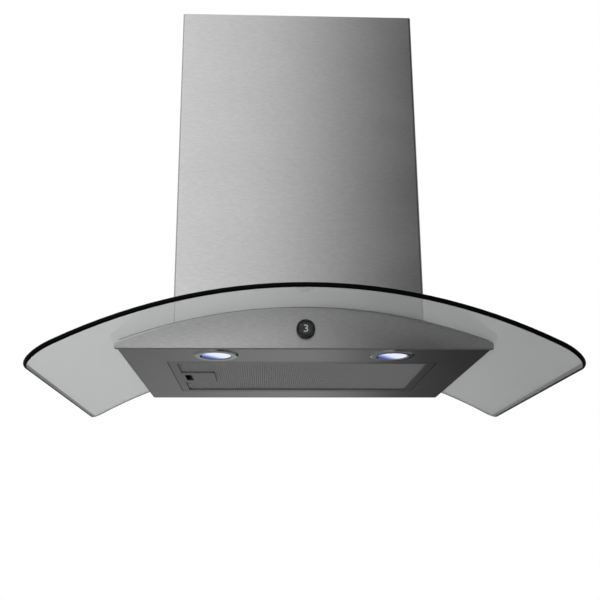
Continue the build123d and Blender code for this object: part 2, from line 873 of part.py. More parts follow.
with BuildPart() as impeller:
    rear_planes = [front_plane(fan_x, impeller_rear_y, fan_z)]
    front_planes = [front_plane(fan_x, impeller_front_y + end_ring_thickness, fan_z)]
    with BuildSketch(*rear_planes, *front_planes):
        Circle(impeller_radius)
        Circle(blade_inner, mode=Mode.SUBTRACT)
    extrude(amount=end_ring_thickness)
    rod([front_plane(fan_x, hub_disc_y, fan_z)], blade_mid, hub_disc_thickness)
    rod([front_plane(fan_x, hub_disc_y + hub_length / 2, fan_z)], hub_radius, hub_length)
    with BuildSketch(front_plane(fan_x, impeller_rear_y, fan_z)):
        with PolarLocations(blade_mid, blade_count):
            Rectangle(blade_ring_width - blade_thickness, blade_thickness, rotation=35)
    extrude(amount=impeller_width)
    rod([front_plane(fan_x, impeller_rear_y, fan_z)], shaft_radius, impeller_width, Mode.SUBTRACT)
impeller.part.label = "impeller"

# The motor stands in the rear inlet, on a spider, with its nose inside the impeller.
motor_rear_y = scroll_rear_y - scroll_wall
motor_front_y = motor_rear_y - motor_length
shaft_front_y = hub_disc_y - hub_length / 2 - nut_height
shaft_rear_y = motor_rear_y - motor_wall

with BuildPart() as motor_body:
    rod([front_plane(fan_x, motor_rear_y, fan_z)], motor_radius, motor_length)
    rims = edges().filter_by(GeomType.CIRCLE)
    fillet(rims, motor_wall)
    bore_planes = [front_plane(fan_x, motor_rear_y - motor_wall, fan_z)]
    rod(bore_planes, bearing_outer_radius + seat_gap, motor_length, mode=Mode.SUBTRACT)
    with BuildSketch(front_plane(fan_x, motor_rear_y, fan_z)):
        with PolarLocations(motor_radius, 12):
            Rectangle(2 * motor_wall, motor_wall)
    extrude(amount=motor_length, mode=Mode.SUBTRACT)
motor_body.part.label = "motor_body"

with BuildPart() as motor_bearings:
    bearing_planes = [
        front_plane(fan_x, motor_rear_y - motor_wall - seat_gap, fan_z),
        front_plane(fan_x, motor_front_y + bearing_length, fan_z),
    ]
    rod(bearing_planes, bearing_outer_radius, bearing_length)
    rod(bearing_planes, shaft_radius + running_clearance, bearing_length, mode=Mode.SUBTRACT)
motor_bearings.part.label = "motor_bearings"

with BuildPart() as motor_shaft:
    shaft_length = shaft_rear_y - seam_gap - shaft_front_y
    rod([front_plane(fan_x, shaft_rear_y - seam_gap, fan_z)], shaft_radius, shaft_length)
motor_shaft.part.label = "motor_shaft"

with BuildPart() as impeller_nut:
    with BuildSketch(front_plane(fan_x, hub_disc_y - hub_length / 2, fan_z)):
        RegularPolygon(nut_radius + shaft_radius / 2, 6)
        Circle(shaft_radius, mode=Mode.SUBTRACT)
    extrude(amount=nut_height)
impeller_nut.part.label = "impeller_nut"

with BuildPart() as motor_bracket:
    spider_planes = [front_plane(fan_x, scroll_rear_y + seat_gap + spider_thickness, fan_z)]
    with BuildSketch(*spider_planes):
        Circle(inlet_radius + spider_ring_width)
        Circle(inlet_radius, mode=Mode.SUBTRACT)
        Circle(motor_boss_radius)
        with PolarLocations(inlet_radius / 2, 3, start_angle=90):
            Rectangle(inlet_radius + spider_ring_width, spider_arm_width)
    extrude(amount=spider_thickness)
    boss_length = scroll_wall - seat_gap
    rod([front_plane(fan_x, scroll_rear_y + seat_gap, fan_z)], motor_boss_radius, boss_length)
motor_bracket.part.label = "motor_bracket"

with BuildPart() as run_capacitor:
    capacitor_x = housing_half - sheet - seat_gap - capacitor_radius
    capacitor_z = fan_z - capacitor_length / 2
    rod([Plane(origin=(capacitor_x, duct_y, capacitor_z))], capacitor_radius, capacitor_length)
    fillet(edges().filter_by(GeomType.CIRCLE), motor_wall)
run_capacitor.part.label = "run_capacitor"

# ---------------------------------------------------------------------------
# Outlet collar and its flaps
# ---------------------------------------------------------------------------

collar_bore = duct_radius - collar_wall
flap_z = housing_top_z + flap_height
flap_radius = collar_bore - flap_rim_gap
ledge_top = flap_z - flap_thickness / 2 - stop_gap
collar_seat_z = housing_top_z + seat_gap

with BuildPart() as outlet_collar:
    flange_half = outlet_flange_side / 2
    box_between(
        (-flange_half, duct_y - flange_half, collar_seat_z),
        (flange_half, duct_y + flange_half, collar_seat_z + outlet_flange_thickness),
    )
    fillet(edges().filter_by(Axis.Z), screw_head_radius)
    rod([Plane(origin=(0, duct_y, collar_seat_z))], duct_radius, collar_height)
    rod([Plane(origin=(0, duct_y, collar_seat_z))], collar_bore, collar_height, Mode.SUBTRACT)
    with BuildSketch(Plane.XY.offset(ledge_top - ledge_height)):
        with Locations((0, duct_y)):
            Circle(collar_bore + collar_wall / 2)
            Circle(collar_bore - ledge_width, mode=Mode.SUBTRACT)
    extrude(amount=ledge_height)
    pin_planes = [front_plane(0, duct_y + duct_radius, flap_z)]
    rod(pin_planes, pin_radius + running_clearance, 2 * duct_radius, mode=Mode.SUBTRACT)
    hole_radius = screw_radius + screw_hole_clearance
    rod(collar_screw_planes, hole_radius, 2 * screw_length, mode=Mode.SUBTRACT)
outlet_collar.part.label = "outlet_collar"

with BuildPart() as collar_screws:
    head_z = collar_seat_z + outlet_flange_thickness - housing_top_z
    head_planes = [plane.offset(head_z) for plane in collar_screw_planes]
    screws(head_planes, screw_length + outlet_flange_thickness)
collar_screws.part.label = "collar_screws"

pin_half = duct_radius - collar_wall / 2

with BuildPart() as damper_pin:
    rod([front_plane(0, duct_y + pin_half, flap_z)], pin_radius, 2 * pin_half)
damper_pin.part.label = "damper_pin"

# The two half discs share one pin, with their knuckles in turn along it.
knuckle_step = flap_knuckle_length + flap_knuckle_gap
knuckle_ys = [duct_y + (index - 1.5) * knuckle_step for index in range(4)]
left_knuckles = knuckle_ys[0::2]
right_knuckles = knuckle_ys[1::2]


def half_disc(side, knuckles):
    """One flap of the damper: a half disc beside the pin, with knuckles round the pin."""
    inner_edge = flap_knuckle_radius + flap_edge_gap
    with BuildSketch(Plane.XY.offset(flap_z - flap_thickness / 2)) as plate:
        with Locations((0, duct_y)):
            Circle(flap_radius)
        with Locations((-side * (flap_radius - inner_edge), duct_y)):
            Rectangle(2 * flap_radius, 2 * flap_radius, mode=Mode.SUBTRACT)
        for y in knuckles:
            with Locations((side * inner_edge / 2, y)):
                Rectangle(inner_edge + flap_thickness, flap_knuckle_length)
    extrude(plate.sketch, amount=flap_thickness)
    knuckle_planes = [front_plane(0, y + flap_knuckle_length / 2, flap_z) for y in knuckles]
    rod(knuckle_planes, flap_knuckle_radius, flap_knuckle_length)
    pin_bore = pin_radius + running_clearance
    rod([front_plane(0, duct_y + pin_half, flap_z)], pin_bore, 2 * pin_half, Mode.SUBTRACT)


with BuildPart() as damper_flap_left:
    half_disc(-1, left_knuckles)
damper_flap_left.part.label = "damper_flap_left"

with BuildPart() as damper_flap_right:
    half_disc(1, right_knuckles)
damper_flap_right.part.label = "damper_flap_right"

# ---------------------------------------------------------------------------
# Chimney
# ---------------------------------------------------------------------------


def channel_outline(half, front_y, rear_y):
    """Plan of one chimney section: front, two sides and two narrow rear flanges."""
    with BuildLine() as outline:
        Polyline(
            (-half + chimney_flange, rear_y),
            (-half, rear_y),
            (-half, front_y),
            (half, front_y),
            (half, rear_y),
            (half - chimney_flange, rear_y),
            (half - chimney_flange, rear_y - chimney_sheet),
            (half - chimney_sheet, rear_y - chimney_sheet),
            (half - chimney_sheet, front_y + chimney_sheet),
            (-half + chimney_sheet, front_y + chimney_sheet),
            (-half + chimney_sheet, rear_y - chimney_sheet),
            (-half + chimney_flange, rear_y - chimney_sheet),
            close=True,
        )
    make_face(outline.edges())


def round_folds(half, front_y, radius):
    """Rounds the two upright edges at the front whose distance from the middle is half."""
    upright = edges().filter_by(Axis.Z)
    folds = [
        edge
        for edge in upright
        if abs(abs(edge.center().X) - half) < 0.01 and abs(edge.center().Y - front_y) < 0.01
    ]
    fillet(folds, radius)


def fold_sheet(half, front_y, radius):
    """Rounds both faces of the sheet at the two front folds of a chimney section."""
    round_folds(half - chimney_sheet, front_y + chimney_sheet, radius - chimney_sheet)
    round_folds(half, front_y, radius)


chimney_foot_radius = glass_top_radius + foot_seal_thickness
upper_fold_radius = chimney_fold_radius - chimney_sheet - section_gap
side_bracket_z = upper_bottom_z - side_bracket_drop
chimney_screw_planes = [
    side_plane(side * chimney_half, duct_y, side_bracket_z, side) for side in (-1, 1)
]

# The lower section stands on the glass, so its lower edge follows the bend.
with BuildPart() as lower_chimney:
    with BuildSketch(Plane.XY.offset(underside_z)):
        channel_outline(chimney_half, chimney_front_y, -wall_gap)
    extrude(amount=chimney_height)
    fold_sheet(chimney_half, chimney_front_y, chimney_fold_radius)
    cut_below_arch(chimney_foot_radius, chimney_half, chimney_front_y, 0)
    screw_holes(chimney_screw_planes)
lower_chimney.part.label = "lower_chimney"

with BuildPart() as chimney_seal:
    seal_half = chimney_half + seam_gap
    seal_front_y = chimney_front_y - seam_gap
    with BuildSketch(Plane.XZ.offset(wall_gap)):
        seal_low = glass_top_radius + seat_gap
        arch_band(seal_low, chimney_foot_radius - seat_gap, -seal_half, seal_half)
    extrude(amount=-wall_gap - seal_front_y)
    with BuildSketch(Plane.XY.offset(underside_z)):
        with Locations((0, (seal_front_y - wall_gap) / 2)):
            Rectangle(2 * seal_half, -wall_gap - seal_front_y)
        fillet(vertices().group_by(Axis.Y)[0], chimney_fold_radius + seam_gap)
    extrude(amount=chimney_height, mode=Mode.INTERSECT)
    box_between(
        (-seal_half + foot_seal_width, seal_front_y + foot_seal_width, underside_z),
        (seal_half - foot_seal_width, 0, chimney_top_z),
        mode=Mode.SUBTRACT,
    )
chimney_seal.part.label = "chimney_seal"

# The upper section telescopes inside the lower one, with air slots in its sides.
vent_planes = [
    Plane(
        origin=(
            0,
            duct_y,
            chimney_top_z - vent_drop - index * vent_pitch,
        ),
        x_dir=(0, 1, 0),
        z_dir=(1, 0, 0),
    )
    for index in range(vent_count)
]

with BuildPart() as upper_chimney:
    with BuildSketch(Plane.XY.offset(upper_bottom_z)):
        channel_outline(upper_half, upper_front_y, upper_rear_y)
    extrude(amount=upper_length)
    fold_sheet(upper_half, upper_front_y, upper_fold_radius)
    with BuildSketch(*vent_planes):
        SlotOverall(vent_length, vent_height)
    extrude(amount=chimney_half, both=True, mode=Mode.SUBTRACT)
upper_chimney.part.label = "upper_chimney"

# Slide pads line the mouth of the lower section.
pad_thickness = section_gap - slide_gap
pad_top_z = chimney_top_z - pad_drop
pad_inset_y = 2 * pad_width

with BuildPart() as chimney_pads:
    for side in (-1, 1):
        inner = side * (chimney_half - chimney_sheet)
        for y in (chimney_front_y + pad_inset_y, -wall_gap - pad_inset_y):
            faces_x = sorted((inner, inner - side * pad_thickness))
            box_between(
                (faces_x[0], y - pad_width / 2, pad_top_z - pad_height),
                (faces_x[1], y + pad_width / 2, pad_top_z),
            )
        x = side * (chimney_half - pad_inset_y)
        front = chimney_front_y + chimney_sheet
        box_between(
            (x - pad_width / 2, front, pad_top_z - pad_height),
            (x + pad_width / 2, front + pad_thickness, pad_top_z),
        )
chimney_pads.part.label = "chimney_pads"

# Brackets on the sides of the blower housing take the screws of the lower section.
with BuildPart() as chimney_side_brackets:
    for side in (-1, 1):
        near = housing_half + seat_gap
        far = chimney_half - chimney_sheet - seat_gap
        low = side_bracket_z - side_bracket_height / 2
        high = side_bracket_z + side_bracket_height / 2
        spans = sorted((side * near, side * far))
        box_between(
            (spans[0], duct_y - side_bracket_width / 2, low),
            (spans[1], duct_y + side_bracket_width / 2, high),
        )
        hollow = sorted((side * (near + side_bracket_sheet), side * (far - side_bracket_sheet)))
        box_between(
            (hollow[0], duct_y - side_bracket_width / 2, low),
            (hollow[1], duct_y + side_bracket_width / 2, high - side_bracket_sheet),
            mode=Mode.SUBTRACT,
        )
    screw_holes(chimney_screw_planes)
chimney_side_brackets.part.label = "chimney_side_brackets"

with BuildPart() as chimney_screws:
    screws(chimney_screw_planes)
chimney_screws.part.label = "chimney_screws"

# The upper section hangs from a slotted bracket that stays inside its top.
bracket_half = upper_half - chimney_sheet - seat_gap
bracket_rear_y = upper_rear_y - chimney_sheet - seat_gap
bracket_top_z = chimney_top_z - wall_bracket_sheet

with BuildPart() as chimney_wall_bracket:
    box_between(
        (-bracket_half, bracket_rear_y - wall_bracket_ear, bracket_top_z - wall_bracket_height),
        (bracket_half, bracket_rear_y, bracket_top_z),
    )
    box_between(
        (
            -bracket_half + wall_bracket_sheet,
            bracket_rear_y - wall_bracket_ear,
            bracket_top_z - wall_bracket_height,
        ),
        (bracket_half - wall_bracket_sheet, bracket_rear_y - wall_bracket_sheet, bracket_top_z),
        mode=Mode.SUBTRACT,
    )
    slot_planes = [
        wall_plane(
            side * wall_slot_spacing / 2, bracket_rear_y, bracket_top_z - wall_bracket_height / 2
        )
        for side in (-1, 1)
    ]
    with BuildSketch(*slot_planes):
        SlotOverall(wall_slot_length, 2 * wall_slot_radius)
    extrude(amount=-2 * wall_bracket_sheet, mode=Mode.SUBTRACT)
chimney_wall_bracket.part.label = "chimney_wall_bracket"

# ---------------------------------------------------------------------------
# Grease filter: a frame with two layers of mesh, hinged at its right end
# ---------------------------------------------------------------------------

frame_half = filter_half - filter_gap
frame_front_y = filter_front_y + filter_gap
frame_rear_y = filter_rear_y - filter_gap
frame_mid_y = (frame_front_y + frame_rear_y) / 2
frame_low_z = underside_z
frame_top_z = underside_z + filter_height
window_half = frame_half - filter_bar
window_front_y = frame_front_y + filter_bar
window_rear_y = frame_rear_y - filter_bar
mesh_half = window_half + filter_groove_depth - mesh_fit
hinge_x = frame_half - hinge_inset
hinge_z = underside_z + hinge_height
latch_left = -window_half + seat_gap
latch_right = latch_left + latch_width
latch_front_y = frame_mid_y - latch_length / 2
latch_rear_y = frame_mid_y + latch_length / 2
arm_offset = (finger_slot_length + latch_arm_width) / 2 + latch_wall
arm_low_z = panel_top_z + latch_slide_gap
arm_high_z = arm_low_z + latch_arm_thickness
pin_length = hinge_pin_bite + filter_gap + seam_gap + sheet
hinge_pin_planes = [
    front_plane(hinge_x, frame_front_y + hinge_pin_bite, hinge_z),
    wall_plane(hinge_x, frame_rear_y - hinge_pin_bite, hinge_z),
]

with BuildPart() as filter_frame:
    box_between(
        (-frame_half, frame_front_y, frame_low_z),
        (frame_half, frame_rear_y, frame_top_z),
    )
    fillet(edges().filter_by(Axis.Z), fold_outer_radius)
    box_between(
        (-window_half, window_front_y, frame_low_z),
        (window_half, window_rear_y, frame_top_z),
        mode=Mode.SUBTRACT,
    )
    box_between(
        (
            -window_half - filter_groove_depth,
            window_front_y - filter_groove_depth,
            frame_low_z + filter_skin,
        ),
        (
            window_half + filter_groove_depth,
            window_rear_y + filter_groove_depth,
            frame_top_z - filter_skin,
        ),
        mode=Mode.SUBTRACT,
    )
    for side in (-1, 1):
        arm_y = frame_mid_y + side * arm_offset
        box_between(
            (-frame_half, arm_y - latch_arm_width / 2 - latch_slide_gap, panel_top_z),
            (-window_half, arm_y + latch_arm_width / 2 + latch_slide_gap, arm_high_z + latch_slide_gap),
            mode=Mode.SUBTRACT,
        )
    rod(hinge_pin_planes, hinge_pin_radius, filter_gap, mode=Mode.SUBTRACT)
    pin_hole = hinge_pin_bite + filter_gap
    rod(hinge_pin_planes, hinge_pin_radius, pin_hole, mode=Mode.SUBTRACT)
filter_frame.part.label = "filter_frame"


def mesh_layer(low_z, shift):
    """One layer of the filter: a sheet with rows of diamond openings, cut round the latch."""
    pitch_x = 2 * window_half / mesh_columns
    pitch_y = (window_rear_y - window_front_y) / mesh_rows
    half_x = (pitch_x - mesh_strand) / 2
    half_y = (pitch_y - mesh_strand) / 2
    mesh_front_y = window_front_y - filter_groove_depth + mesh_fit
    mesh_rear_y = window_rear_y + filter_groove_depth - mesh_fit
    places = [
        (
            (column + shift - (mesh_columns - 1) / 2) * pitch_x,
            frame_mid_y + (row - (mesh_rows - 1) / 2) * pitch_y,
        )
        for column in range(mesh_columns - math.ceil(shift))
        for row in range(mesh_rows)
    ]
    clear = [
        (x, y)
        for x, y in places
        if x > latch_right + pitch_x or abs(y - frame_mid_y) > latch_length / 2 + pitch_y
    ]
    with BuildSketch(Plane.XY.offset(low_z)) as layer:
        with Locations((0, (mesh_front_y + mesh_rear_y) / 2)):
            Rectangle(2 * mesh_half, mesh_rear_y - mesh_front_y)
        with Locations(*clear):
            Polygon((-half_x, 0), (0, -half_y), (half_x, 0), (0, half_y), mode=Mode.SUBTRACT)
        with Locations(((-mesh_half + latch_right + mesh_fit) / 2, frame_mid_y)):
            cut_width = latch_right + mesh_fit + mesh_half
            Rectangle(cut_width, latch_length + 2 * mesh_fit, mode=Mode.SUBTRACT)
    extrude(layer.sketch, amount=mesh_thickness)


with BuildPart() as filter_mesh_lower:
    mesh_layer(frame_low_z + filter_skin + mesh_fit, 0)
filter_mesh_lower.part.label = "filter_mesh_lower"

with BuildPart() as filter_mesh_upper:
    mesh_layer(frame_top_z - filter_skin - mesh_fit - mesh_thickness, 0.5)
filter_mesh_upper.part.label = "filter_mesh_upper"

with BuildPart() as filter_hinge_pins:
    rod(hinge_pin_planes, hinge_pin_radius, pin_length)
filter_hinge_pins.part.label = "filter_hinge_pins"

# Ears on the tray hold the two hinge pins.
with BuildPart() as filter_hinge_ears:
    for side, edge_y in ((-1, filter_front_y), (1, filter_rear_y)):
        near = edge_y + side * seam_gap
        ear = sorted((near, near + side * sheet))
        foot = sorted((near, near + side * hinge_foot))
        foot_low = panel_top_z + seat_gap
        box_between(
            (hinge_x - hinge_ear_width / 2, ear[0], foot_low),
            (hinge_x + hinge_ear_width / 2, ear[1], underside_z + hinge_ear_height),
        )
        box_between(
            (hinge_x - hinge_ear_width / 2, foot[0], foot_low),
            (hinge_x + hinge_ear_width / 2, foot[1], foot_low + sheet),
        )
    bore_radius = hinge_pin_radius + running_clearance
    rod(hinge_pin_planes, bore_radius, pin_length + 2 * sheet, mode=Mode.SUBTRACT)
filter_hinge_ears.part.label = "filter_hinge_ears"

# ---------------------------------------------------------------------------
# Filter latch: a pocket for the finger and a sprung slider with two bolts
# ---------------------------------------------------------------------------

slot_left = latch_left + finger_slot_edge
slot_right = slot_left + finger_slot_width
slider_left = slot_right + latch_wall + latch_slide_gap
slider_right = latch_right - latch_wall - latch_travel - latch_slide_gap
slider_half = arm_offset + latch_arm_width / 2
slider_low_z = frame_low_z + latch_wall + latch_slide_gap
slider_high_z = frame_top_z - latch_wall - latch_slide_gap

# The pocket walls divide the finger slot from the space in which the slider runs.
with BuildPart() as latch_housing:
    box_between(
        (latch_left, latch_front_y, frame_low_z),
        (latch_right, latch_rear_y, frame_top_z),
    )
    round_edges = edges().filter_by(Axis.Z).group_by(Axis.X)[-1]
    fillet(round_edges, fold_outer_radius)
    box_between(
        (latch_left + latch_wall, latch_front_y + latch_wall, frame_low_z + latch_wall),
        (latch_right - latch_wall, latch_rear_y - latch_wall, frame_top_z - latch_wall),
        mode=Mode.SUBTRACT,
    )
    box_between(
        (slot_left, frame_mid_y - finger_slot_length / 2, frame_low_z),
        (slot_right, frame_mid_y + finger_slot_length / 2, frame_low_z + latch_wall),
        mode=Mode.SUBTRACT,
    )
    for side in (-1, 1):
        arm_y = frame_mid_y + side * arm_offset
        box_between(
            (latch_left, arm_y - latch_arm_width / 2 - latch_slide_gap, panel_top_z),
            (
                latch_left + latch_wall,
                arm_y + latch_arm_width / 2 + latch_slide_gap,
                arm_high_z + latch_slide_gap,
            ),
            mode=Mode.SUBTRACT,
        )
latch_housing.part.label = "latch_housing"

with BuildPart() as latch_slider:
    box_between(
        (slot_right - latch_wall, frame_mid_y - slider_half, slider_low_z),
        (slider_right, frame_mid_y + slider_half, slider_low_z + latch_arm_thickness),
    )
    box_between(
        (
            slot_right - 2 * latch_wall,
            frame_mid_y - finger_slot_length / 2 + latch_slide_gap,
            slider_low_z,
        ),
        (
            slot_right,
            frame_mid_y + finger_slot_length / 2 - latch_slide_gap,
            slider_high_z,
        ),
    )
    for side in (-1, 1):
        arm_y = frame_mid_y + side * arm_offset
        box_between(
            (-filter_half - latch_bite, arm_y - latch_arm_width / 2, arm_low_z),
            (slider_right, arm_y + latch_arm_width / 2, arm_high_z),
        )
    tips = edges().filter_by(Axis.Y).group_by(Axis.X)[0].group_by(Axis.Z)[0]
    chamfer(tips, latch_arm_thickness * 0.6)
latch_slider.part.label = "latch_slider"

with BuildPart() as latch_spring:
    spring_length = latch_right - latch_wall - seat_gap - slider_right - seat_gap
    spring_start = (slider_right + seat_gap + spring_wire_radius, frame_mid_y)
    spring_z = slider_low_z + spring_coil_radius + spring_wire_radius
    coil_length = spring_length - 2 * spring_wire_radius
    with BuildLine():
        coil = Helix(
            pitch=coil_length / spring_turns,
            height=coil_length,
            radius=spring_coil_radius,
            center=(spring_start[0], frame_mid_y, spring_z),
            direction=(1, 0, 0),
        )
    with BuildSketch(Plane(origin=coil @ 0, z_dir=coil % 0)):
        Circle(spring_wire_radius)
    sweep(is_frenet=True)
latch_spring.part.label = "latch_spring"

# ---------------------------------------------------------------------------
# Lamps
# ---------------------------------------------------------------------------

neck_radius = lamp_hole_radius - lamp_fit
can_radius = neck_radius - lamp_fit
neck_top_z = underside_z + lamp_neck_height
can_low_z = neck_top_z + seat_gap
can_top_z = can_low_z + lamp_can_height
lens_low_z = underside_z - lamp_bezel_height / 3
lens_top_z = lens_low_z + lamp_lens_thickness


def bezel_profile(x):
    """Half section of a lamp bezel: a sloping rim below the tray and a neck through its hole."""
    rim_low_z = underside_z - lamp_bezel_height
    lens_edge = x + lamp_lens_radius + seat_gap
    with BuildLine() as outline:
        Polyline(
            (lens_edge, lens_low_z - seat_gap),
            (lens_edge + lamp_neck_wall, rim_low_z),
            (x + lamp_bezel_radius - lamp_bezel_height, rim_low_z),
            (x + lamp_bezel_radius, underside_z - lamp_bezel_height / 2),
            (x + lamp_bezel_radius, underside_z - seat_gap),
            (x + neck_radius, underside_z - seat_gap),
            (x + neck_radius, neck_top_z),
            (x + neck_radius - lamp_neck_wall, neck_top_z),
            (x + neck_radius - lamp_neck_wall, lens_top_z + seat_gap),
            (lens_edge, lens_top_z + seat_gap),
            close=True,
        )
    make_face(outline.edges())


def bezel(x):
    """Lamp bezel, turned about the upright axis of the lamp at x."""
    with BuildSketch(Plane.XZ.offset(-lamp_y)) as section:
        bezel_profile(x)
    revolve(section.sketch, axis=Axis((x, lamp_y, 0), (0, 0, 1)))


def lens(x):
    """Lamp lens: a flat disc with a bevelled lower edge."""
    rod([Plane(origin=(x, lamp_y, lens_low_z))], lamp_lens_radius, lamp_lens_thickness)
    chamfer(faces().sort_by(Axis.Z)[0].edges(), lamp_bezel_height / 3)


def lamp_can(x):
    """Finned can that holds the light board above the bezel."""
    rod([Plane(origin=(x, lamp_y, can_low_z))], can_radius, lamp_can_height)
    cavity = lamp_can_height - 2 * lamp_can_wall
    wall_radius = can_radius - lamp_can_wall - lamp_fin_depth
    rod([Plane(origin=(x, lamp_y, can_low_z))], wall_radius, cavity, Mode.SUBTRACT)
    fin_low_z = can_low_z + lamp_can_height / 3
    with BuildSketch(Plane(origin=(x, lamp_y, fin_low_z))) as slots:
        with PolarLocations(can_radius, lamp_fin_count):
            Rectangle(2 * lamp_fin_depth, lamp_fin_depth)
    extrude(slots.sketch, amount=lamp_can_height, mode=Mode.SUBTRACT)


with BuildPart() as lamp_bezel_left:
    bezel(-lamp_x)
lamp_bezel_left.part.label = "lamp_bezel_left"

with BuildPart() as lamp_bezel_right:
    bezel(lamp_x)
lamp_bezel_right.part.label = "lamp_bezel_right"

with BuildPart() as lamp_lens_left:
    lens(-lamp_x)
lamp_lens_left.part.label = "lamp_lens_left"

with BuildPart() as lamp_lens_right:
    lens(lamp_x)
lamp_lens_right.part.label = "lamp_lens_right"

with BuildPart() as lamp_housing_left:
    lamp_can(-lamp_x)
lamp_housing_left.part.label = "lamp_housing_left"

with BuildPart() as lamp_housing_right:
    lamp_can(lamp_x)
lamp_housing_right.part.label = "lamp_housing_right"

with BuildPart() as lamp_boards:
    board_radius = can_radius - lamp_can_wall - lamp_fin_depth - lamp_fit
    board_z = can_top_z - 2 * lamp_can_wall - seat_gap - lamp_board_thickness
    board_planes = [Plane(origin=(side * lamp_x, lamp_y, board_z)) for side in (-1, 1)]
    rod(board_planes, board_radius, lamp_board_thickness)
lamp_boards.part.label = "lamp_boards"

# Sprung clips beside each can press on the tray and hold the lamp up.
with BuildPart() as lamp_clips:
    clip_root = can_radius + seat_gap
    clip_low_z = panel_top_z + seat_gap
    for x in (-lamp_x, lamp_x):
        for side in (-1, 1):
            with BuildSketch(Plane.XZ.offset(-lamp_y - clip_width / 2)):
                with BuildLine():
                    Polyline(
                        (x + side * clip_root, clip_low_z + clip_rise),
                        (x + side * (clip_root + clip_thickness), clip_low_z + clip_rise),
                        (x + side * (clip_root + clip_thickness), can_low_z + clip_thickness),
                        (x + side * (clip_root + clip_reach), clip_low_z + clip_thickness),
                        (x + side * (clip_root + clip_reach), clip_low_z),
                        (x + side * (clip_root + clip_reach - clip_thickness), clip_low_z),
                        (x + side * clip_root, can_low_z),
                        close=True,
                    )
                make_face()
            extrude(amount=clip_width)
lamp_clips.part.label = "lamp_clips"

# ---------------------------------------------------------------------------
# Control: a turning dial round a push button with a lit number
# ---------------------------------------------------------------------------

control_z = underside_z + control_height
dial_rear_y = -(body_depth + dial_gap)
dial_front_y = dial_rear_y - dial_depth
sleeve_front_y = dial_front_y + button_recess
button_radius = sleeve_radius - sleeve_wall - button_clearance
button_front_y = dial_front_y + button_recess
control_box_front_y = fascia_inner_y + seat_gap
control_box_rear_y = control_box_front_y + control_box_depth
board_front_y = control_box_rear_y - control_box_wall - board_thickness

with BuildPart() as control_dial:
    rod([front_plane(0, dial_rear_y, control_z)], dial_radius, dial_depth)
    rim = faces().sort_by(Axis.Y)[0].edges()
    fillet(rim, dial_edge_radius)
    dial_bore = sleeve_radius + running_clearance
    rod([front_plane(0, dial_rear_y, control_z)], dial_bore, dial_depth, mode=Mode.SUBTRACT)
    chamfer(faces().sort_by(Axis.Y)[0].edges().sort_by(SortBy.LENGTH)[0], dial_edge_radius / 3)
control_dial.part.label = "control_dial"

with BuildPart() as control_housing:
    box_between(
        (-control_box_width / 2, control_box_front_y, control_z - control_box_height / 2),
        (control_box_width / 2, control_box_rear_y, control_z + control_box_height / 2),
    )
    box_between(
        (
            -control_box_width / 2 + control_box_wall,
            control_box_front_y + control_box_wall,
            control_z - control_box_height / 2 + control_box_wall,
        ),
        (
            control_box_width / 2 - control_box_wall,
            control_box_rear_y,
            control_z + control_box_height / 2 - control_box_wall,
        ),
        mode=Mode.SUBTRACT,
    )
    sleeve_length = control_box_front_y - sleeve_front_y
    rod([front_plane(0, control_box_front_y, control_z)], sleeve_radius, sleeve_length)
    sleeve_bore = sleeve_radius - sleeve_wall
    bore_start = front_plane(0, control_box_front_y + control_box_wall, control_z)
    rod([bore_start], sleeve_bore, sleeve_length + control_box_wall, mode=Mode.SUBTRACT)
control_housing.part.label = "control_housing"

with BuildPart() as control_button:
    rod([front_plane(0, button_front_y + button_thickness, control_z)], button_radius, button_thickness)
    crown = faces().sort_by(Axis.Y)[0].edges()
    fillet(crown, button_dome)
    stem_length = board_front_y - switch_height - button_travel - stop_gap - button_front_y
    stem_plane = wall_plane(0, button_front_y + button_thickness / 2, control_z)
    rod([stem_plane], stem_radius, stem_length - button_thickness / 2)
control_button.part.label = "control_button"

with BuildPart() as control_board:
    box_between(
        (
            -control_box_width / 2 + control_box_wall + seat_gap,
            board_front_y,
            control_z - control_box_height / 2 + control_box_wall + seat_gap,
        ),
        (
            control_box_width / 2 - control_box_wall - seat_gap,
            board_front_y + board_thickness,
            control_z + control_box_height / 2 - control_box_wall - seat_gap,
        ),
    )
    rod([front_plane(0, board_front_y, control_z)], stem_radius, switch_height)
control_board.part.label = "control_board"

# ---------------------------------------------------------------------------
# Electrics
# ---------------------------------------------------------------------------

driver_low_z = panel_top_z + seat_gap
driver_top_z = driver_low_z + driver_height

with BuildPart() as led_driver:
    box_between(
        (driver_x - driver_width / 2, lamp_y - driver_length / 2, driver_low_z),
        (driver_x + driver_width / 2, lamp_y + driver_length / 2, driver_top_z),
    )
    fillet(edges().filter_by(Axis.Z), fold_outer_radius)
led_driver.part.label = "led_driver"

# A lead rises from each lamp, runs along under the deck and drops to the driver.
with BuildPart() as lamp_leads:
    for x, end_x in ((-lamp_x, driver_x - driver_width / 4), (lamp_x, driver_x + driver_width / 4)):
        level_z = underside_z + lead_level
        with BuildLine(Plane.XZ.offset(-lamp_y)):
            route = FilletPolyline(
                (x, can_top_z + seat_gap),
                (x, level_z),
                (end_x, level_z),
                (end_x, driver_top_z + seat_gap),
                radius=lead_bend,
            )
        with BuildSketch(Plane(origin=route @ 0, z_dir=route % 0)):
            Circle(lead_radius)
        sweep()
lamp_leads.part.label = "lamp_leads"

# The terminal box stands on the blower housing, beside the outlet.
terminal_low_z = housing_top_z + seat_gap
terminal_top_z = terminal_low_z + terminal_height
gland_plane = Plane(origin=(terminal_x, duct_y, terminal_top_z - terminal_wall))

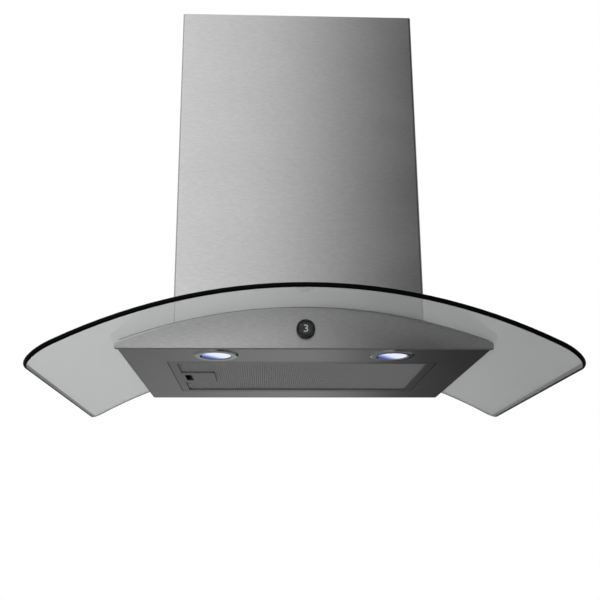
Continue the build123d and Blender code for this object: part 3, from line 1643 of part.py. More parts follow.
with BuildPart() as terminal_box:
    box_between(
        (terminal_x - terminal_width / 2, duct_y - terminal_length / 2, terminal_low_z),
        (terminal_x + terminal_width / 2, duct_y + terminal_length / 2, terminal_top_z),
    )
    fillet(edges().filter_by(Axis.Z), corner_outer_radius)
    box_between(
        (
            terminal_x - terminal_width / 2 + terminal_wall,
            duct_y - terminal_length / 2 + terminal_wall,
            terminal_low_z,
        ),
        (
            terminal_x + terminal_width / 2 - terminal_wall,
            duct_y + terminal_length / 2 - terminal_wall,
            terminal_top_z - terminal_wall,
        ),
        mode=Mode.SUBTRACT,
    )
    rod([gland_plane], gland_thread_radius + seat_gap, terminal_wall, mode=Mode.SUBTRACT)
terminal_box.part.label = "terminal_box"

# The gland is where the supply cable enters, from above.
with BuildPart() as cable_gland:
    rod([gland_plane.offset(-2 * terminal_wall)], gland_thread_radius, gland_length)
    nut_plane = gland_plane.offset(terminal_wall + seat_gap)
    with BuildSketch(nut_plane):
        RegularPolygon(gland_body_radius + terminal_wall, 6)
    extrude(amount=gland_body_radius / 2)
    rod([nut_plane], gland_body_radius, gland_body_radius)
    rod([gland_plane.offset(-2 * terminal_wall)], gland_bore_radius, gland_length, Mode.SUBTRACT)
cable_gland.part.label = "cable_gland"

# ---------------------------------------------------------------------------
# One file for each piece
# ---------------------------------------------------------------------------

pieces = (
    glass_canopy,
    glass_gasket,
    glass_bolts,
    glass_bushes,
    glass_nuts,
    front_fascia,
    side_panel_left,
    side_panel_right,
    rear_panel,
    underside_panel,
    top_deck,
    deck_rivets,
    blower_housing,
    blower_cover,
    blower_screws,
    scroll_housing,
    inlet_ring,
    impeller,
    impeller_nut,
    motor_body,
    motor_bearings,
    motor_shaft,
    motor_bracket,
    run_capacitor,
    outlet_collar,
    collar_screws,
    damper_pin,
    damper_flap_left,
    damper_flap_right,
    lower_chimney,
    upper_chimney,
    chimney_seal,
    chimney_pads,
    chimney_side_brackets,
    chimney_screws,
    chimney_wall_bracket,
    filter_frame,
    filter_mesh_lower,
    filter_mesh_upper,
    filter_hinge_pins,
    filter_hinge_ears,
    latch_housing,
    latch_slider,
    latch_spring,
    lamp_bezel_left,
    lamp_bezel_right,
    lamp_lens_left,
    lamp_lens_right,
    lamp_housing_left,
    lamp_housing_right,
    lamp_boards,
    lamp_clips,
    control_dial,
    control_button,
    control_housing,
    control_board,
    led_driver,
    lamp_leads,
    terminal_box,
    cable_gland,
)

os.makedirs("parts", exist_ok=True)
for piece in pieces:
    export_step(piece.part, f"parts/{piece.part.label}.step")
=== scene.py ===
"""Looks of a wall-hung chimney hood with a bent glass canopy.

The solids come packed, in metres: X to the right as seen from the front, Y towards the
wall, Z up.  This script gives each of them its finish, replaces a few with finer pieces
and lights the hood in a plain studio.  Sizes are in millimetres where a name or a docstring
doesn't say otherwise, and MM turns them into metres.
"""

import logging
import math
from dataclasses import dataclass, field
from enum import Enum

import bpy
from mathutils import Matrix, Vector


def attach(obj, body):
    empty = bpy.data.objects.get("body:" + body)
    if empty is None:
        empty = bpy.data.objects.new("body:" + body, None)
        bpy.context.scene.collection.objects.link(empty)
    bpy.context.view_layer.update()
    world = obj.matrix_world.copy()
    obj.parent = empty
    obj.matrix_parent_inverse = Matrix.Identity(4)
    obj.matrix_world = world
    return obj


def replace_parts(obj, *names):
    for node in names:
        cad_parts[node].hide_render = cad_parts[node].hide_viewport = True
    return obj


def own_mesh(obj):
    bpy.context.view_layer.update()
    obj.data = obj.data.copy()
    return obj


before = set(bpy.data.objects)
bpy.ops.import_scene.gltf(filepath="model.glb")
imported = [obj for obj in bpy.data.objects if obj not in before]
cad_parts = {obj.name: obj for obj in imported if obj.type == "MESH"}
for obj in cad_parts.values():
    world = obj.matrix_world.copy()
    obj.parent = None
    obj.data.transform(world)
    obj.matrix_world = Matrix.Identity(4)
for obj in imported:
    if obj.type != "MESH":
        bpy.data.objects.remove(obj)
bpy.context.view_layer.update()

log = logging.getLogger("hood")

MM = 0.001
MAIN_BODY = "hood"

Colour = tuple[float, float, float, float]
Inputs = dict[str | int, object]
Stops = tuple[tuple[float, float], ...]


# ---------------------------------------------------------------------------
# Small tools
# ---------------------------------------------------------------------------


def linear(code: str) -> Colour:
    """Turns an sRGB hex value into a linear colour.

    Args:
        code: The colour, such as "#C8CACC".

    Returns:
        Red, green, blue and an alpha of 1.
    """
    parts = [int(code[i : i + 2], 16) / 255 for i in (1, 3, 5)]
    toned = [c / 12.92 if c <= 0.04045 else ((c + 0.055) / 1.055) ** 2.4 for c in parts]
    return (toned[0], toned[1], toned[2], 1.0)


def feed(tree: bpy.types.NodeTree, node: bpy.types.Node, inputs: Inputs) -> None:
    """Sets inputs of a node, or links them.

    Args:
        tree: The node's tree.
        node: The node.
        inputs: Value of each input, or the socket or node that feeds it.
    """
    for key, value in inputs.items():
        if isinstance(value, bpy.types.Node):
            value = value.outputs[0]
        if isinstance(value, bpy.types.NodeSocket):
            tree.links.new(value, node.inputs[key])
        else:
            node.inputs[key].default_value = value


def add(
    tree: bpy.types.NodeTree, kind: str, inputs: Inputs | None = None, **settings: object
) -> bpy.types.Node:
    """Adds one node with its settings, values and links.

    Args:
        tree: The tree that gets the node.
        kind: Blender's name of the node type.
        inputs: Value of each input, or the socket or node that feeds it.
        **settings: Properties of the node.

    Returns:
        The new node.
    """
    node = tree.nodes.new(kind)
    for name, value in settings.items():
        setattr(node, name, value)
    feed(tree, node, inputs or {})
    return node


def piece(name: str, mesh: bpy.types.Mesh, body: str) -> bpy.types.Object:
    """Makes a finished piece that stands at the origin and rides on a body.

    Args:
        name: Name of the piece.
        mesh: Its mesh, with its place in it.
        body: The body it rides on.

    Returns:
        The new object.
    """
    made = bpy.data.objects.new(name, mesh)
    bpy.context.scene.collection.objects.link(made)
    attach(made, body)
    log.info("made %s on %s", name, body)
    return made


# ---------------------------------------------------------------------------
# Finishes
# ---------------------------------------------------------------------------


class Grain(Enum):
    """Way in which a brushed surface is brushed."""

    LEVEL = "level"
    ALONG_X = "along_x"


def noise_field(
    tree: bpy.types.NodeTree, size_mm: tuple[float, float, float], detail: float
) -> bpy.types.Node:
    """Adds noise on object coordinates.

    Args:
        tree: The tree that gets the nodes.
        size_mm: Size of the pattern along X, Y and Z.
        detail: Detail of the noise.

    Returns:
        The noise's node.
    """
    place = add(tree, "ShaderNodeTexCoord").outputs["Object"]
    scale = tuple(1.0 / (size * MM) for size in size_mm)
    scaled = add(tree, "ShaderNodeMapping", {"Vector": place, "Scale": scale})
    inputs = {"Vector": scaled, "Scale": 1.0, "Detail": detail, "Roughness": 0.6}
    return add(tree, "ShaderNodeTexNoise", inputs)


def stretched(source: bpy.types.Node, low: float, high: float) -> Inputs:
    """Gives the Map Range inputs that spread the middle of a noise over a range.

    Args:
        source: The noise.
        low: Result where the noise is 0.3.
        high: Result where the noise is 0.7.

    Returns:
        The inputs.
    """
    return {"Value": source, "From Min": 0.3, "From Max": 0.7, "To Min": low, "To Max": high}


def toned(factor: bpy.types.NodeSocket | bpy.types.Node, dark: str, light: str) -> Inputs:
    """Gives the Mix inputs that run from one colour to another.

    Args:
        factor: How much of the second colour shows.
        dark: First colour, as sRGB hex.
        light: Second colour, as sRGB hex.

    Returns:
        The inputs.
    """
    return {0: factor, 6: linear(dark), 7: linear(light)}


@dataclass(frozen=True)
class Finish:
    """A material: what it is made of and how its surface was made."""

    name: str
    colour: str
    roughness: float = 0.5
    metallic: float = 0.0

    def surface(self, tree: bpy.types.NodeTree) -> Inputs:
        """Adds the surface's nodes and gives what feeds the shader; a plain finish has none."""
        return {}

    def build(self) -> bpy.types.Material:
        """Builds the material.

        Returns:
            The finished material.
        """
        material = bpy.data.materials.new(self.name)
        material.use_nodes = True
        tree = material.node_tree
        shader = tree.nodes["Principled BSDF"]
        colour = linear(self.colour)
        plain = {"Base Color": colour, "Roughness": self.roughness, "Metallic": self.metallic}
        feed(tree, shader, plain)
        feed(tree, shader, self.surface(tree))
        return material


@dataclass(frozen=True)
class WorkedFinish(Finish):
    """A surface that was worked: its tone, gloss and height follow noise patterns.

    The shares say how much of the light colour shows where the tone's pattern is low and high.
    """

    colour_low: str = "#808284"
    shares: tuple[float, float] = (0.3, 1.0)
    gloss_swing: float = 0.04
    depth_mm: float = 0.01
    relief: float = 0.4

    def worked(
        self,
        tree: bpy.types.NodeTree,
        tone: bpy.types.Node,
        gloss: bpy.types.Node,
        height: bpy.types.Node,
    ) -> Inputs:
        """Turns noise patterns into tone, gloss and relief.

        Args:
            tree: The material's tree.
            tone: Pattern of the tone.
            gloss: Pattern of the gloss.
            height: Pattern of the height.

        Returns:
            Source of each shader input that the patterns feed.
        """
        swing = self.gloss_swing
        share = add(tree, "ShaderNodeMapRange", stretched(tone, *self.shares))
        colours = toned(share, self.colour_low, self.colour)
        rough = stretched(gloss, self.roughness - swing, self.roughness + swing)
        bump = {"Height": height, "Distance": self.depth_mm * MM, "Strength": self.relief}
        return {
            "Base Color": add(tree, "ShaderNodeMix", colours, data_type="RGBA").outputs[2],
            "Roughness": add(tree, "ShaderNodeMapRange", rough),
            "Normal": add(tree, "ShaderNodeBump", bump),
        }


@dataclass(frozen=True)
class BrushedStainless(WorkedFinish):
    """Stainless sheet brushed with a belt: scratches that spread light across them.

    Real scratches are finer than the render can show, so these are as coarse as they need to be.
    """

    colour_low: str = "#BDBEBF"
    shares: tuple[float, float] = (0.1, 0.9)
    gloss_swing: float = 0.02
    depth_mm: float = 0.012
    relief: float = 0.2
    grain: Grain = Grain.LEVEL
    scratch_mm: float = 1.8
    streak_mm: float = 10.0
    cloud_mm: tuple[float, float, float] = (260.0, 260.0, 90.0)
    anisotropy: float = 0.55

    def surface(self, tree: bpy.types.NodeTree) -> Inputs:
        """Adds scratches of two tones, their relief and a slow change of gloss.

        Args:
            tree: The material's tree.

        Returns:
            Value or source of each shader input that isn't plain.
        """
        long, fine = self.streak_mm, self.scratch_mm
        level = self.grain is Grain.LEVEL
        scratches = noise_field(tree, (long, long, fine) if level else (long, fine, long), 3.0)
        cloud = noise_field(tree, self.cloud_mm, 2.0)
        inputs = self.worked(tree, scratches, cloud, scratches)
        inputs["Anisotropic"] = self.anisotropy
        if level:
            # Light spreads up and down, across scratches that run round the upright axis.
            inputs["Anisotropic Rotation"] = 0.25
            inputs["Tangent"] = add(tree, "ShaderNodeTangent", direction_type="RADIAL", axis="Z")
        return inputs


@dataclass(frozen=True)
class TemperedGlass(Finish):
    """Bent float glass: polished on both faces, grey enough to veil what is behind it.

    Its IOR is below that of bare glass, because the overhang in the photograph mirrors little.
    Past its rim limits, left and right, the colour is painted dark: painted shade where the edge
    looks dark through the sheet.
    """

    clearness: float = 0.8
    ior: float = 1.25
    painted_rim_shade: str = "#040505"
    painted_rim_limits_mm: tuple[float, float] = (-378.3, 376.0)

    def surface(self, tree: bpy.types.NodeTree) -> Inputs:
        """Adds the painted dark rims of shade and clears the rest.

        Args:
            tree: The material's tree.

        Returns:
            Value or source of each shader input that isn't plain.
        """
        place = add(tree, "ShaderNodeTexCoord").outputs["Object"]
        across = add(tree, "ShaderNodeSeparateXYZ", {0: place}).outputs["X"]
        left, right = (limit * MM for limit in self.painted_rim_limits_mm)
        limits = {0: across, 1: (left + right) / 2, 2: (right - left) / 2}
        inside = add(tree, "ShaderNodeMath", limits, operation="COMPARE")
        # Outside the limits the base colour is painted near black: painted shade of the edge.
        colours = toned(inside, self.painted_rim_shade, self.colour)
        return {
            "Base Color": add(tree, "ShaderNodeMix", colours, data_type="RGBA").outputs[2],
            "Transmission Weight": self.clearness,
            "IOR": self.ior,
        }


@dataclass(frozen=True)
class GroundEdgePaintedShade(Finish):
    """Ground edge of the glass, painted black: painted shade for how dark the edge looks from
    inside the sheet.
    """

    grit_mm: float = 6.0
    gloss_swing: float = 0.06
    specular_level: float = 0.06

    def surface(self, tree: bpy.types.NodeTree) -> Inputs:
        """Adds the uneven gloss of the grinding.

        Args:
            tree: The material's tree.

        Returns:
            Value or source of each shader input that isn't plain.
        """
        wear = noise_field(tree, (self.grit_mm,) * 3, 2.0)
        swing = self.gloss_swing
        rough = stretched(wear, self.roughness - swing, self.roughness + swing)
        uneven = add(tree, "ShaderNodeMapRange", rough)
        return {"Roughness": uneven, "Specular IOR Level": self.specular_level}


@dataclass(frozen=True)
class MouldedPolymer(WorkedFinish):
    """Injection-moulded plastic: a fine spark-eroded texture and a slightly uneven shine."""

    colour_low: str = "#101112"
    shares: tuple[float, float] = (0.2, 1.0)
    gloss_swing: float = 0.05
    depth_mm: float = 0.02
    relief: float = 0.5
    texture_mm: float = 0.8
    wear_mm: float = 40.0
    ior: float = 1.5

    def surface(self, tree: bpy.types.NodeTree) -> Inputs:
        """Adds the texture and slow changes of tone and gloss.

        Args:
            tree: The material's tree.

        Returns:
            Value or source of each shader input that isn't plain.
        """
        texture = noise_field(tree, (self.texture_mm,) * 3, 3.0)
        wear = noise_field(tree, (self.wear_mm,) * 3, 3.0)
        return self.worked(tree, wear, wear, texture) | {"IOR": self.ior}


@dataclass(frozen=True)
class GalvanisedSheet(Finish):
    """Hot-dip galvanised sheet: zinc crystals a few millimetres across, each with its own tone."""

    colour_low: str = "#8B9092"
    crystal_mm: float = 9.0
    gloss_swing: float = 0.08

    def surface(self, tree: bpy.types.NodeTree) -> Inputs:
        """Adds the crystals.

        Args:
            tree: The material's tree.

        Returns:
            Value or source of each shader input that isn't plain.
        """
        place = add(tree, "ShaderNodeTexCoord").outputs["Object"]
        size = {"Vector": place, "Scale": 1.0 / (self.crystal_mm * MM)}
        cells = add(tree, "ShaderNodeTexVoronoi", size, feature="F1").outputs["Color"]
        tone = add(tree, "ShaderNodeSeparateColor", {0: cells})
        low, high = self.roughness - self.gloss_swing, self.roughness + self.gloss_swing
        rough = {"Value": tone, "To Min": low, "To Max": high}
        colours = toned(tone, self.colour_low, self.colour)
        return {
            "Base Color": add(tree, "ShaderNodeMix", colours, data_type="RGBA").outputs[2],
            "Roughness": add(tree, "ShaderNodeMapRange", rough),
        }


@dataclass(frozen=True)
class WorkedMetal(WorkedFinish):
    """Bare or plated metal with faint tool marks: ground, rolled, die-cast or plated."""

    mark_mm: tuple[float, float, float] = (3.0, 3.0, 3.0)

    def surface(self, tree: bpy.types.NodeTree) -> Inputs:
        """Adds the tool marks to tone, gloss and height."""
        marks = noise_field(tree, self.mark_mm, 4.0)
        return self.worked(tree, marks, marks, marks)


@dataclass(frozen=True)
class LitLens(Finish):
    """Frosted lens in front of cool white lights: bright, and blue at its left rear.

    The lenses stand at centre_mm and at its mirror image.  The tone follows a line across each
    lens, which leans as rear_share says and runs between the limits, in radii of the lens.
    """

    centre_mm: tuple[float, float] = (0.0, 0.0)
    radius_mm: float = 22.0
    shadow_colour: str = "#2C50B0"
    rear_share: float = 0.9
    limits: tuple[float, float] = (-1.2, 0.1)
    glow: float = 0.6

    def surface(self, tree: bpy.types.NodeTree) -> Inputs:
        """Adds the light behind the lens.

        Args:
            tree: The material's tree.

        Returns:
            Value or source of each shader input that isn't plain.
        """
        place = add(tree, "ShaderNodeTexCoord").outputs["Object"]
        x, y, _ = add(tree, "ShaderNodeSeparateXYZ", {0: place}).outputs
        centre_x, centre_y = (part * MM for part in self.centre_mm)
        first, last = (limit * self.radius_mm * MM for limit in self.limits)
        side = add(tree, "ShaderNodeMath", {0: x}, operation="ABSOLUTE")
        sign = add(tree, "ShaderNodeMath", {0: x}, operation="SIGN")
        off = add(tree, "ShaderNodeMath", {0: side, 1: centre_x}, operation="SUBTRACT")
        right = add(tree, "ShaderNodeMath", {0: off, 1: sign}, operation="MULTIPLY")
        back = add(tree, "ShaderNodeMath", {0: y, 1: centre_y}, operation="SUBTRACT")
        slant = {0: back, 1: -self.rear_share, 2: right}
        lean = add(tree, "ShaderNodeMath", slant, operation="MULTIPLY_ADD")
        lit = {"Value": lean, "From Min": first, "From Max": last}
        factor = add(tree, "ShaderNodeMapRange", lit, interpolation_type="SMOOTHSTEP")
        colours = toned(factor, self.shadow_colour, self.colour)
        colour = add(tree, "ShaderNodeMix", colours, data_type="RGBA").outputs[2]
        return {"Base Color": colour, "Emission Color": colour, "Emission Strength": self.glow}


@dataclass(frozen=True)
class LitFigure(Finish):
    """Light shining through a masked window: even and bright."""

    glow: float = 0.7

    def surface(self, tree: bpy.types.NodeTree) -> Inputs:
        """Lets the figure shine in its own colour."""
        return {"Emission Color": linear(self.colour), "Emission Strength": self.glow}


@dataclass(frozen=True)
class SolderMask(Finish):
    """Circuit board: green lacquer over faint copper tracks."""

    colour_low: str = "#0F3D22"
    track_mm: float = 3.0

    def surface(self, tree: bpy.types.NodeTree) -> Inputs:
        """Adds the tracks.

        Args:
            tree: The material's tree.

        Returns:
            Value or source of each shader input that isn't plain.
        """
        place = add(tree, "ShaderNodeTexCoord").outputs["Object"]
        low = linear(self.colour_low)
        lacquer = {"Color1": linear(self.colour), "Color2": low, "Mortar": low}
        size = {"Vector": place, "Scale": 1.0 / (self.track_mm * MM)}
        tracks = add(tree, "ShaderNodeTexBrick", lacquer | size)
        return {"Base Color": tracks.outputs["Color"]}


@dataclass
class FinishRack:
    """All finishes of the hood, each built once."""

    built: dict[str, bpy.types.Material] = field(default_factory=dict)

    def get(self, finish: Finish) -> bpy.types.Material:
        """Gives the material of a finish.

        Args:
            finish: The finish.

        Returns:
            Its material, built on first use.
        """
        if finish.name not in self.built:
            self.built[finish.name] = finish.build()
        return self.built[finish.name]

    def dress(self, finish: Finish, *names: str) -> None:
        """Puts a finish on CAD nodes.

        Args:
            finish: The finish.
            *names: The nodes.
        """
        for name in names:
            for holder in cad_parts[name].material_slots:
                holder.material = self.get(finish)
            log.info("dressed %s in %s", name, finish.name)


# Belt-brushed stainless sheet, level grain: light in a soft band, darker where it turns away.
STAINLESS = BrushedStainless(
    "stainless_brushed_level", "#D3D3D3", 0.30, 1.0, colour_low="#C3C3C3"
)
# The body's sheet, brushed the same way; its colour is a shade darker than the chimney's, as
# painted shade.
STAINLESS_BODY_SHADED = BrushedStainless(
    "stainless_brushed_body_painted_shade", "#BBBBBB", 0.30, 1.0, colour_low="#A7A7A7"
)
# The same sheet lying flat, brushed from side to side: evenly dull, with no band of light; its
# darker colour is painted shade.
STAINLESS_FLAT_SHADED = BrushedStainless(
    "stainless_brushed_flat_painted_shade",
    "#B4B4B4",
    0.32,
    1.0,
    colour_low="#A3A4A5",
    grain=Grain.ALONG_X,
    anisotropy=0.0,
)
# Silicone rubber strip: dead black, hardly any gloss.
SILICONE = MouldedPolymer("silicone_rubber_black", "#141414", 0.7, colour_low="#0C0C0C")
# Hot-dip galvanised sheet: grey with a mosaic of crystals.
GALVANISED = GalvanisedSheet("steel_galvanised", "#B4B9BB", 0.42, 1.0)
# Bright zinc plate on pressed screws: clean and slightly blue.
ZINC_PLATE = WorkedMetal("steel_zinc_plated", "#C6CACE", 0.33, 1.0, colour_low="#A6ABB0")
# Natural nylon: milky and soft.
NYLON = MouldedPolymer("nylon_natural", "#E2DCCB", 0.5, colour_low="#D2CBB8")
# Glass-filled black nylon of the fan parts: dull with a sandy texture.
BLACK_NYLON = MouldedPolymer("nylon_glass_filled_black", "#1D1E20", 0.55, colour_low="#141516")
# Mill-finish aluminium sheet: pale with faint rolling lines.
MILL_ALUMINIUM = WorkedMetal(
    "aluminium_mill_finish", "#D2D4D6", 0.35, 1.0, colour_low="#B7BABD", mark_mm=(0.8, 60.0, 0.8)
)
# Ground steel: bright with very fine rings.
GROUND_STEEL = WorkedMetal("steel_ground", "#B9BBBE", 0.2, 1.0, mark_mm=(1.0, 0.6, 1.0))
# Stoved grey enamel of the motor: smooth, half gloss.
STOVED_ENAMEL = MouldedPolymer(
    "enamel_stoved_grey", "#54575A", 0.35, colour_low="#494C4F", texture_mm=3.0, depth_mm=0.01
)
# White thermoplastic can of the capacitor: smooth, with an even shine.
WHITE_POLYMER = MouldedPolymer("polypropylene_white", "#E4E4E0", 0.3, colour_low="#D8D8D3")
# Rolled stainless frame of the filter: satin, with rolling lines from side to side.
FILTER_STEEL = WorkedMetal(
    "stainless_rolled_satin", "#9E9E9E", 0.34, 1.0, colour_low="#8F8F8F", mark_mm=(80.0, 0.8, 0.8)
)
# Anodised expanded aluminium of the filter: its oxide layer makes it matt.
MESH_ALUMINIUM = WorkedMetal(
    "aluminium_expanded_anodised", "#D8D8D8", 0.6, 0.8, colour_low="#CCCCCC"
)
# Black ABS of the latch slider: moulded, a soft shine.
LATCH_ABS = MouldedPolymer("abs_black_satin", "#202124", 0.42, colour_low="#17181A")
# Spring steel wire and strip: cold drawn, bright.
SPRING_STEEL = WorkedMetal("steel_spring_bright", "#9A9C9E", 0.34, 1.0)
# Chrome plate of the lamp bezels: mirror-like.
CHROME_PLATE = WorkedMetal(
    "chrome_plate_polished", "#D9DBDD", 0.12, 1.0, colour_low="#CFD1D4", depth_mm=0.002
)
# Die-cast aluminium of the lamp cans: grey, slightly grainy.
CAST_ALUMINIUM = WorkedMetal("aluminium_die_cast", "#B6B9BB", 0.5, 1.0, mark_mm=(1.5, 1.5, 1.5))
# Circuit boards under green solder mask: smooth lacquer over faint tracks.
BOARD_GREEN = SolderMask("board_solder_mask_green", "#1B6B3A", 0.35)
# Matt black ABS of the dial: very dark, soft shine.
DIAL_ABS = MouldedPolymer("abs_black_matt", "#17181A", 0.5, colour_low="#101113", texture_mm=0.5)
# Smoked acrylic window of the button: dark grey under a clear gloss.
SMOKED_ACRYLIC = MouldedPolymer(
    "acrylic_smoked", "#2C2E31", 0.18, colour_low="#26282B", texture_mm=6.0, depth_mm=0.002
)
# Light grey ABS of the electrical boxes: moulded with a fine matt texture.
GREY_ABS = MouldedPolymer("abs_light_grey", "#A9ACAE", 0.5, colour_low="#9C9FA1")
# Extruded PVC sleeve of the lamp leads: white, half gloss.
CABLE_SLEEVE = MouldedPolymer("pvc_sleeve_white", "#DADCDE", 0.45, colour_low="#CBCDD0")
# White light behind a masked window of the button: a plain bright figure.
DISPLAY_LIGHT = LitFigure("display_light_white", "#8E9092", 0.35)
# Float glass, bent and tempered: grey and clear, fire-polished, with painted dark rims of shade at
# left and right.
GLASS = TemperedGlass("glass_tempered_grey", "#FAFCFB", 0.0)
# Its ground edge, painted black as shade, with a dull line of light.
GLASS_EDGE_PAINTED_DARK = GroundEdgePaintedShade("glass_edge_painted_shade", "#030404", 0.4)


# ---------------------------------------------------------------------------
# Geometry node trees
# ---------------------------------------------------------------------------


class PartTree:
    """A geometry node tree with named inputs."""

    def __init__(self, name: str, floats: tuple[str, ...], counts: tuple[str, ...] = ()) -> None:
        """Makes the tree with its inputs.

        Args:
            name: Name of the tree.
            floats: Names of the size inputs.
            counts: Names of the count inputs.
        """
        self.tree = bpy.data.node_groups.new(name, "GeometryNodeTree")
        named = [(label, "Float") for label in floats] + [(label, "Int") for label in counts]
        for label, kind in [("Geometry", "Geometry"), *named, ("Material", "Material")]:
            socket = f"NodeSocket{kind}"
            self.tree.interface.new_socket(label, in_out="INPUT", socket_type=socket)
        self.tree.interface.new_socket(
            "Geometry", in_out="OUTPUT", socket_type="NodeSocketGeometry"
        )
        self.given = add(self.tree, "NodeGroupInput").outputs

    def finish(self, geometry: bpy.types.Node) -> None:
        """Ends the tree with real geometry and its material.

        Args:
            geometry: The node that has made it.
        """
        real = add(self.tree, "GeometryNodeRealizeInstances", {0: geometry})
        inputs = {"Geometry": real, "Material": self.given["Material"]}
        coated = add(self.tree, "GeometryNodeSetMaterial", inputs)
        add(self.tree, "NodeGroupOutput", {0: coated})

    def run(self, base: bpy.types.Mesh, values: dict[str, object]) -> bpy.types.Mesh:
        """Runs the tree on a mesh and keeps the result as a plain mesh.

        Args:
            base: The mesh that goes in.
            values: Value of each named input.

        Returns:
            The result.
        """
        holder = bpy.data.objects.new("holder", base)
        bpy.context.scene.collection.objects.link(holder)
        modifier = holder.modifiers.new("tree", "NODES")
        modifier.node_group = self.tree
        for item in self.tree.interface.items_tree:
            if item.in_out == "INPUT" and item.name in values:
                modifier[item.identifier] = values[item.name]
        scene_graph = bpy.context.evaluated_depsgraph_get()
        made = bpy.data.meshes.new_from_object(holder.evaluated_get(scene_graph))
        bpy.data.objects.remove(holder)
        made.polygons.foreach_set("material_index", [0] * len(made.polygons))
        made.materials.clear()
        made.materials.append(values["Material"])
        return made


def strand_tree() -> PartTree:
    """Builds the tree of expanded metal: rows of zigzag strands that touch at their peaks.

    Returns:
        The tree.
    """
    sizes = ("Start X", "Start Y", "Level", "Pitch", "Row Step", "Strand Width", "Strand Height")
    part = PartTree("expanded_metal", sizes, ("Peaks", "Rows"))
    tree, given = part.tree, part.given
    row_step = given["Row Step"]
    # One strand: points along X, half a row to either side by turns, with a flat section.
    half_pitch = add(tree, "ShaderNodeMath", {0: given["Pitch"], 1: 2.0}, operation="DIVIDE")
    across = add(tree, "ShaderNodeCombineXYZ", {0: half_pitch})
    line = add(tree, "GeometryNodeMeshLine", {"Count": given["Peaks"], "Offset": across})
    index = add(tree, "GeometryNodeInputIndex")
    turn = add(tree, "ShaderNodeMath", {0: index, 1: 2.0}, operation="FLOORED_MODULO")
    lean = add(tree, "ShaderNodeMath", {0: turn, 1: 0.5}, operation="SUBTRACT")
    swing = add(tree, "ShaderNodeMath", {0: lean, 1: row_step}, operation="MULTIPLY")
    swung = add(tree, "ShaderNodeCombineXYZ", {1: swing})
    zigzag = add(tree, "GeometryNodeSetPosition", {"Geometry": line, "Offset": swung})
    path = add(tree, "GeometryNodeMeshToCurve", {0: zigzag})
    flat = {0: given["Strand Width"], 1: given["Strand Height"]}
    section = add(tree, "GeometryNodeCurvePrimitiveQuadrilateral", flat)
    drawn = {"Curve": path, "Profile Curve": section, "Fill Caps": True}
    strand = add(tree, "GeometryNodeCurveToMesh", drawn)
    # Its rows: every second one stands half a pitch aside, so that the peaks meet.
    half_row = add(tree, "ShaderNodeMath", {0: row_step, 1: 2.0}, operation="DIVIDE")
    start_y = add(tree, "ShaderNodeMath", {0: given["Start Y"], 1: half_row}, operation="ADD")
    start = {0: given["Start X"], 1: start_y, 2: given["Level"]}
    first = add(tree, "ShaderNodeCombineXYZ", start)
    onward = add(tree, "ShaderNodeCombineXYZ", {1: row_step})
    places = {"Count": given["Rows"], "Start Location": first, "Offset": onward}
    rows = add(tree, "GeometryNodeMeshLine", places)
    shift = add(tree, "ShaderNodeMath", {0: turn, 1: half_pitch}, operation="MULTIPLY")
    aside = add(tree, "ShaderNodeCombineXYZ", {0: shift})
    staggered = add(tree, "GeometryNodeSetPosition", {"Geometry": rows, "Offset": aside})
    copies = {"Points": staggered, "Instance": strand}
    part.finish(add(tree, "GeometryNodeInstanceOnPoints", copies))
    return part


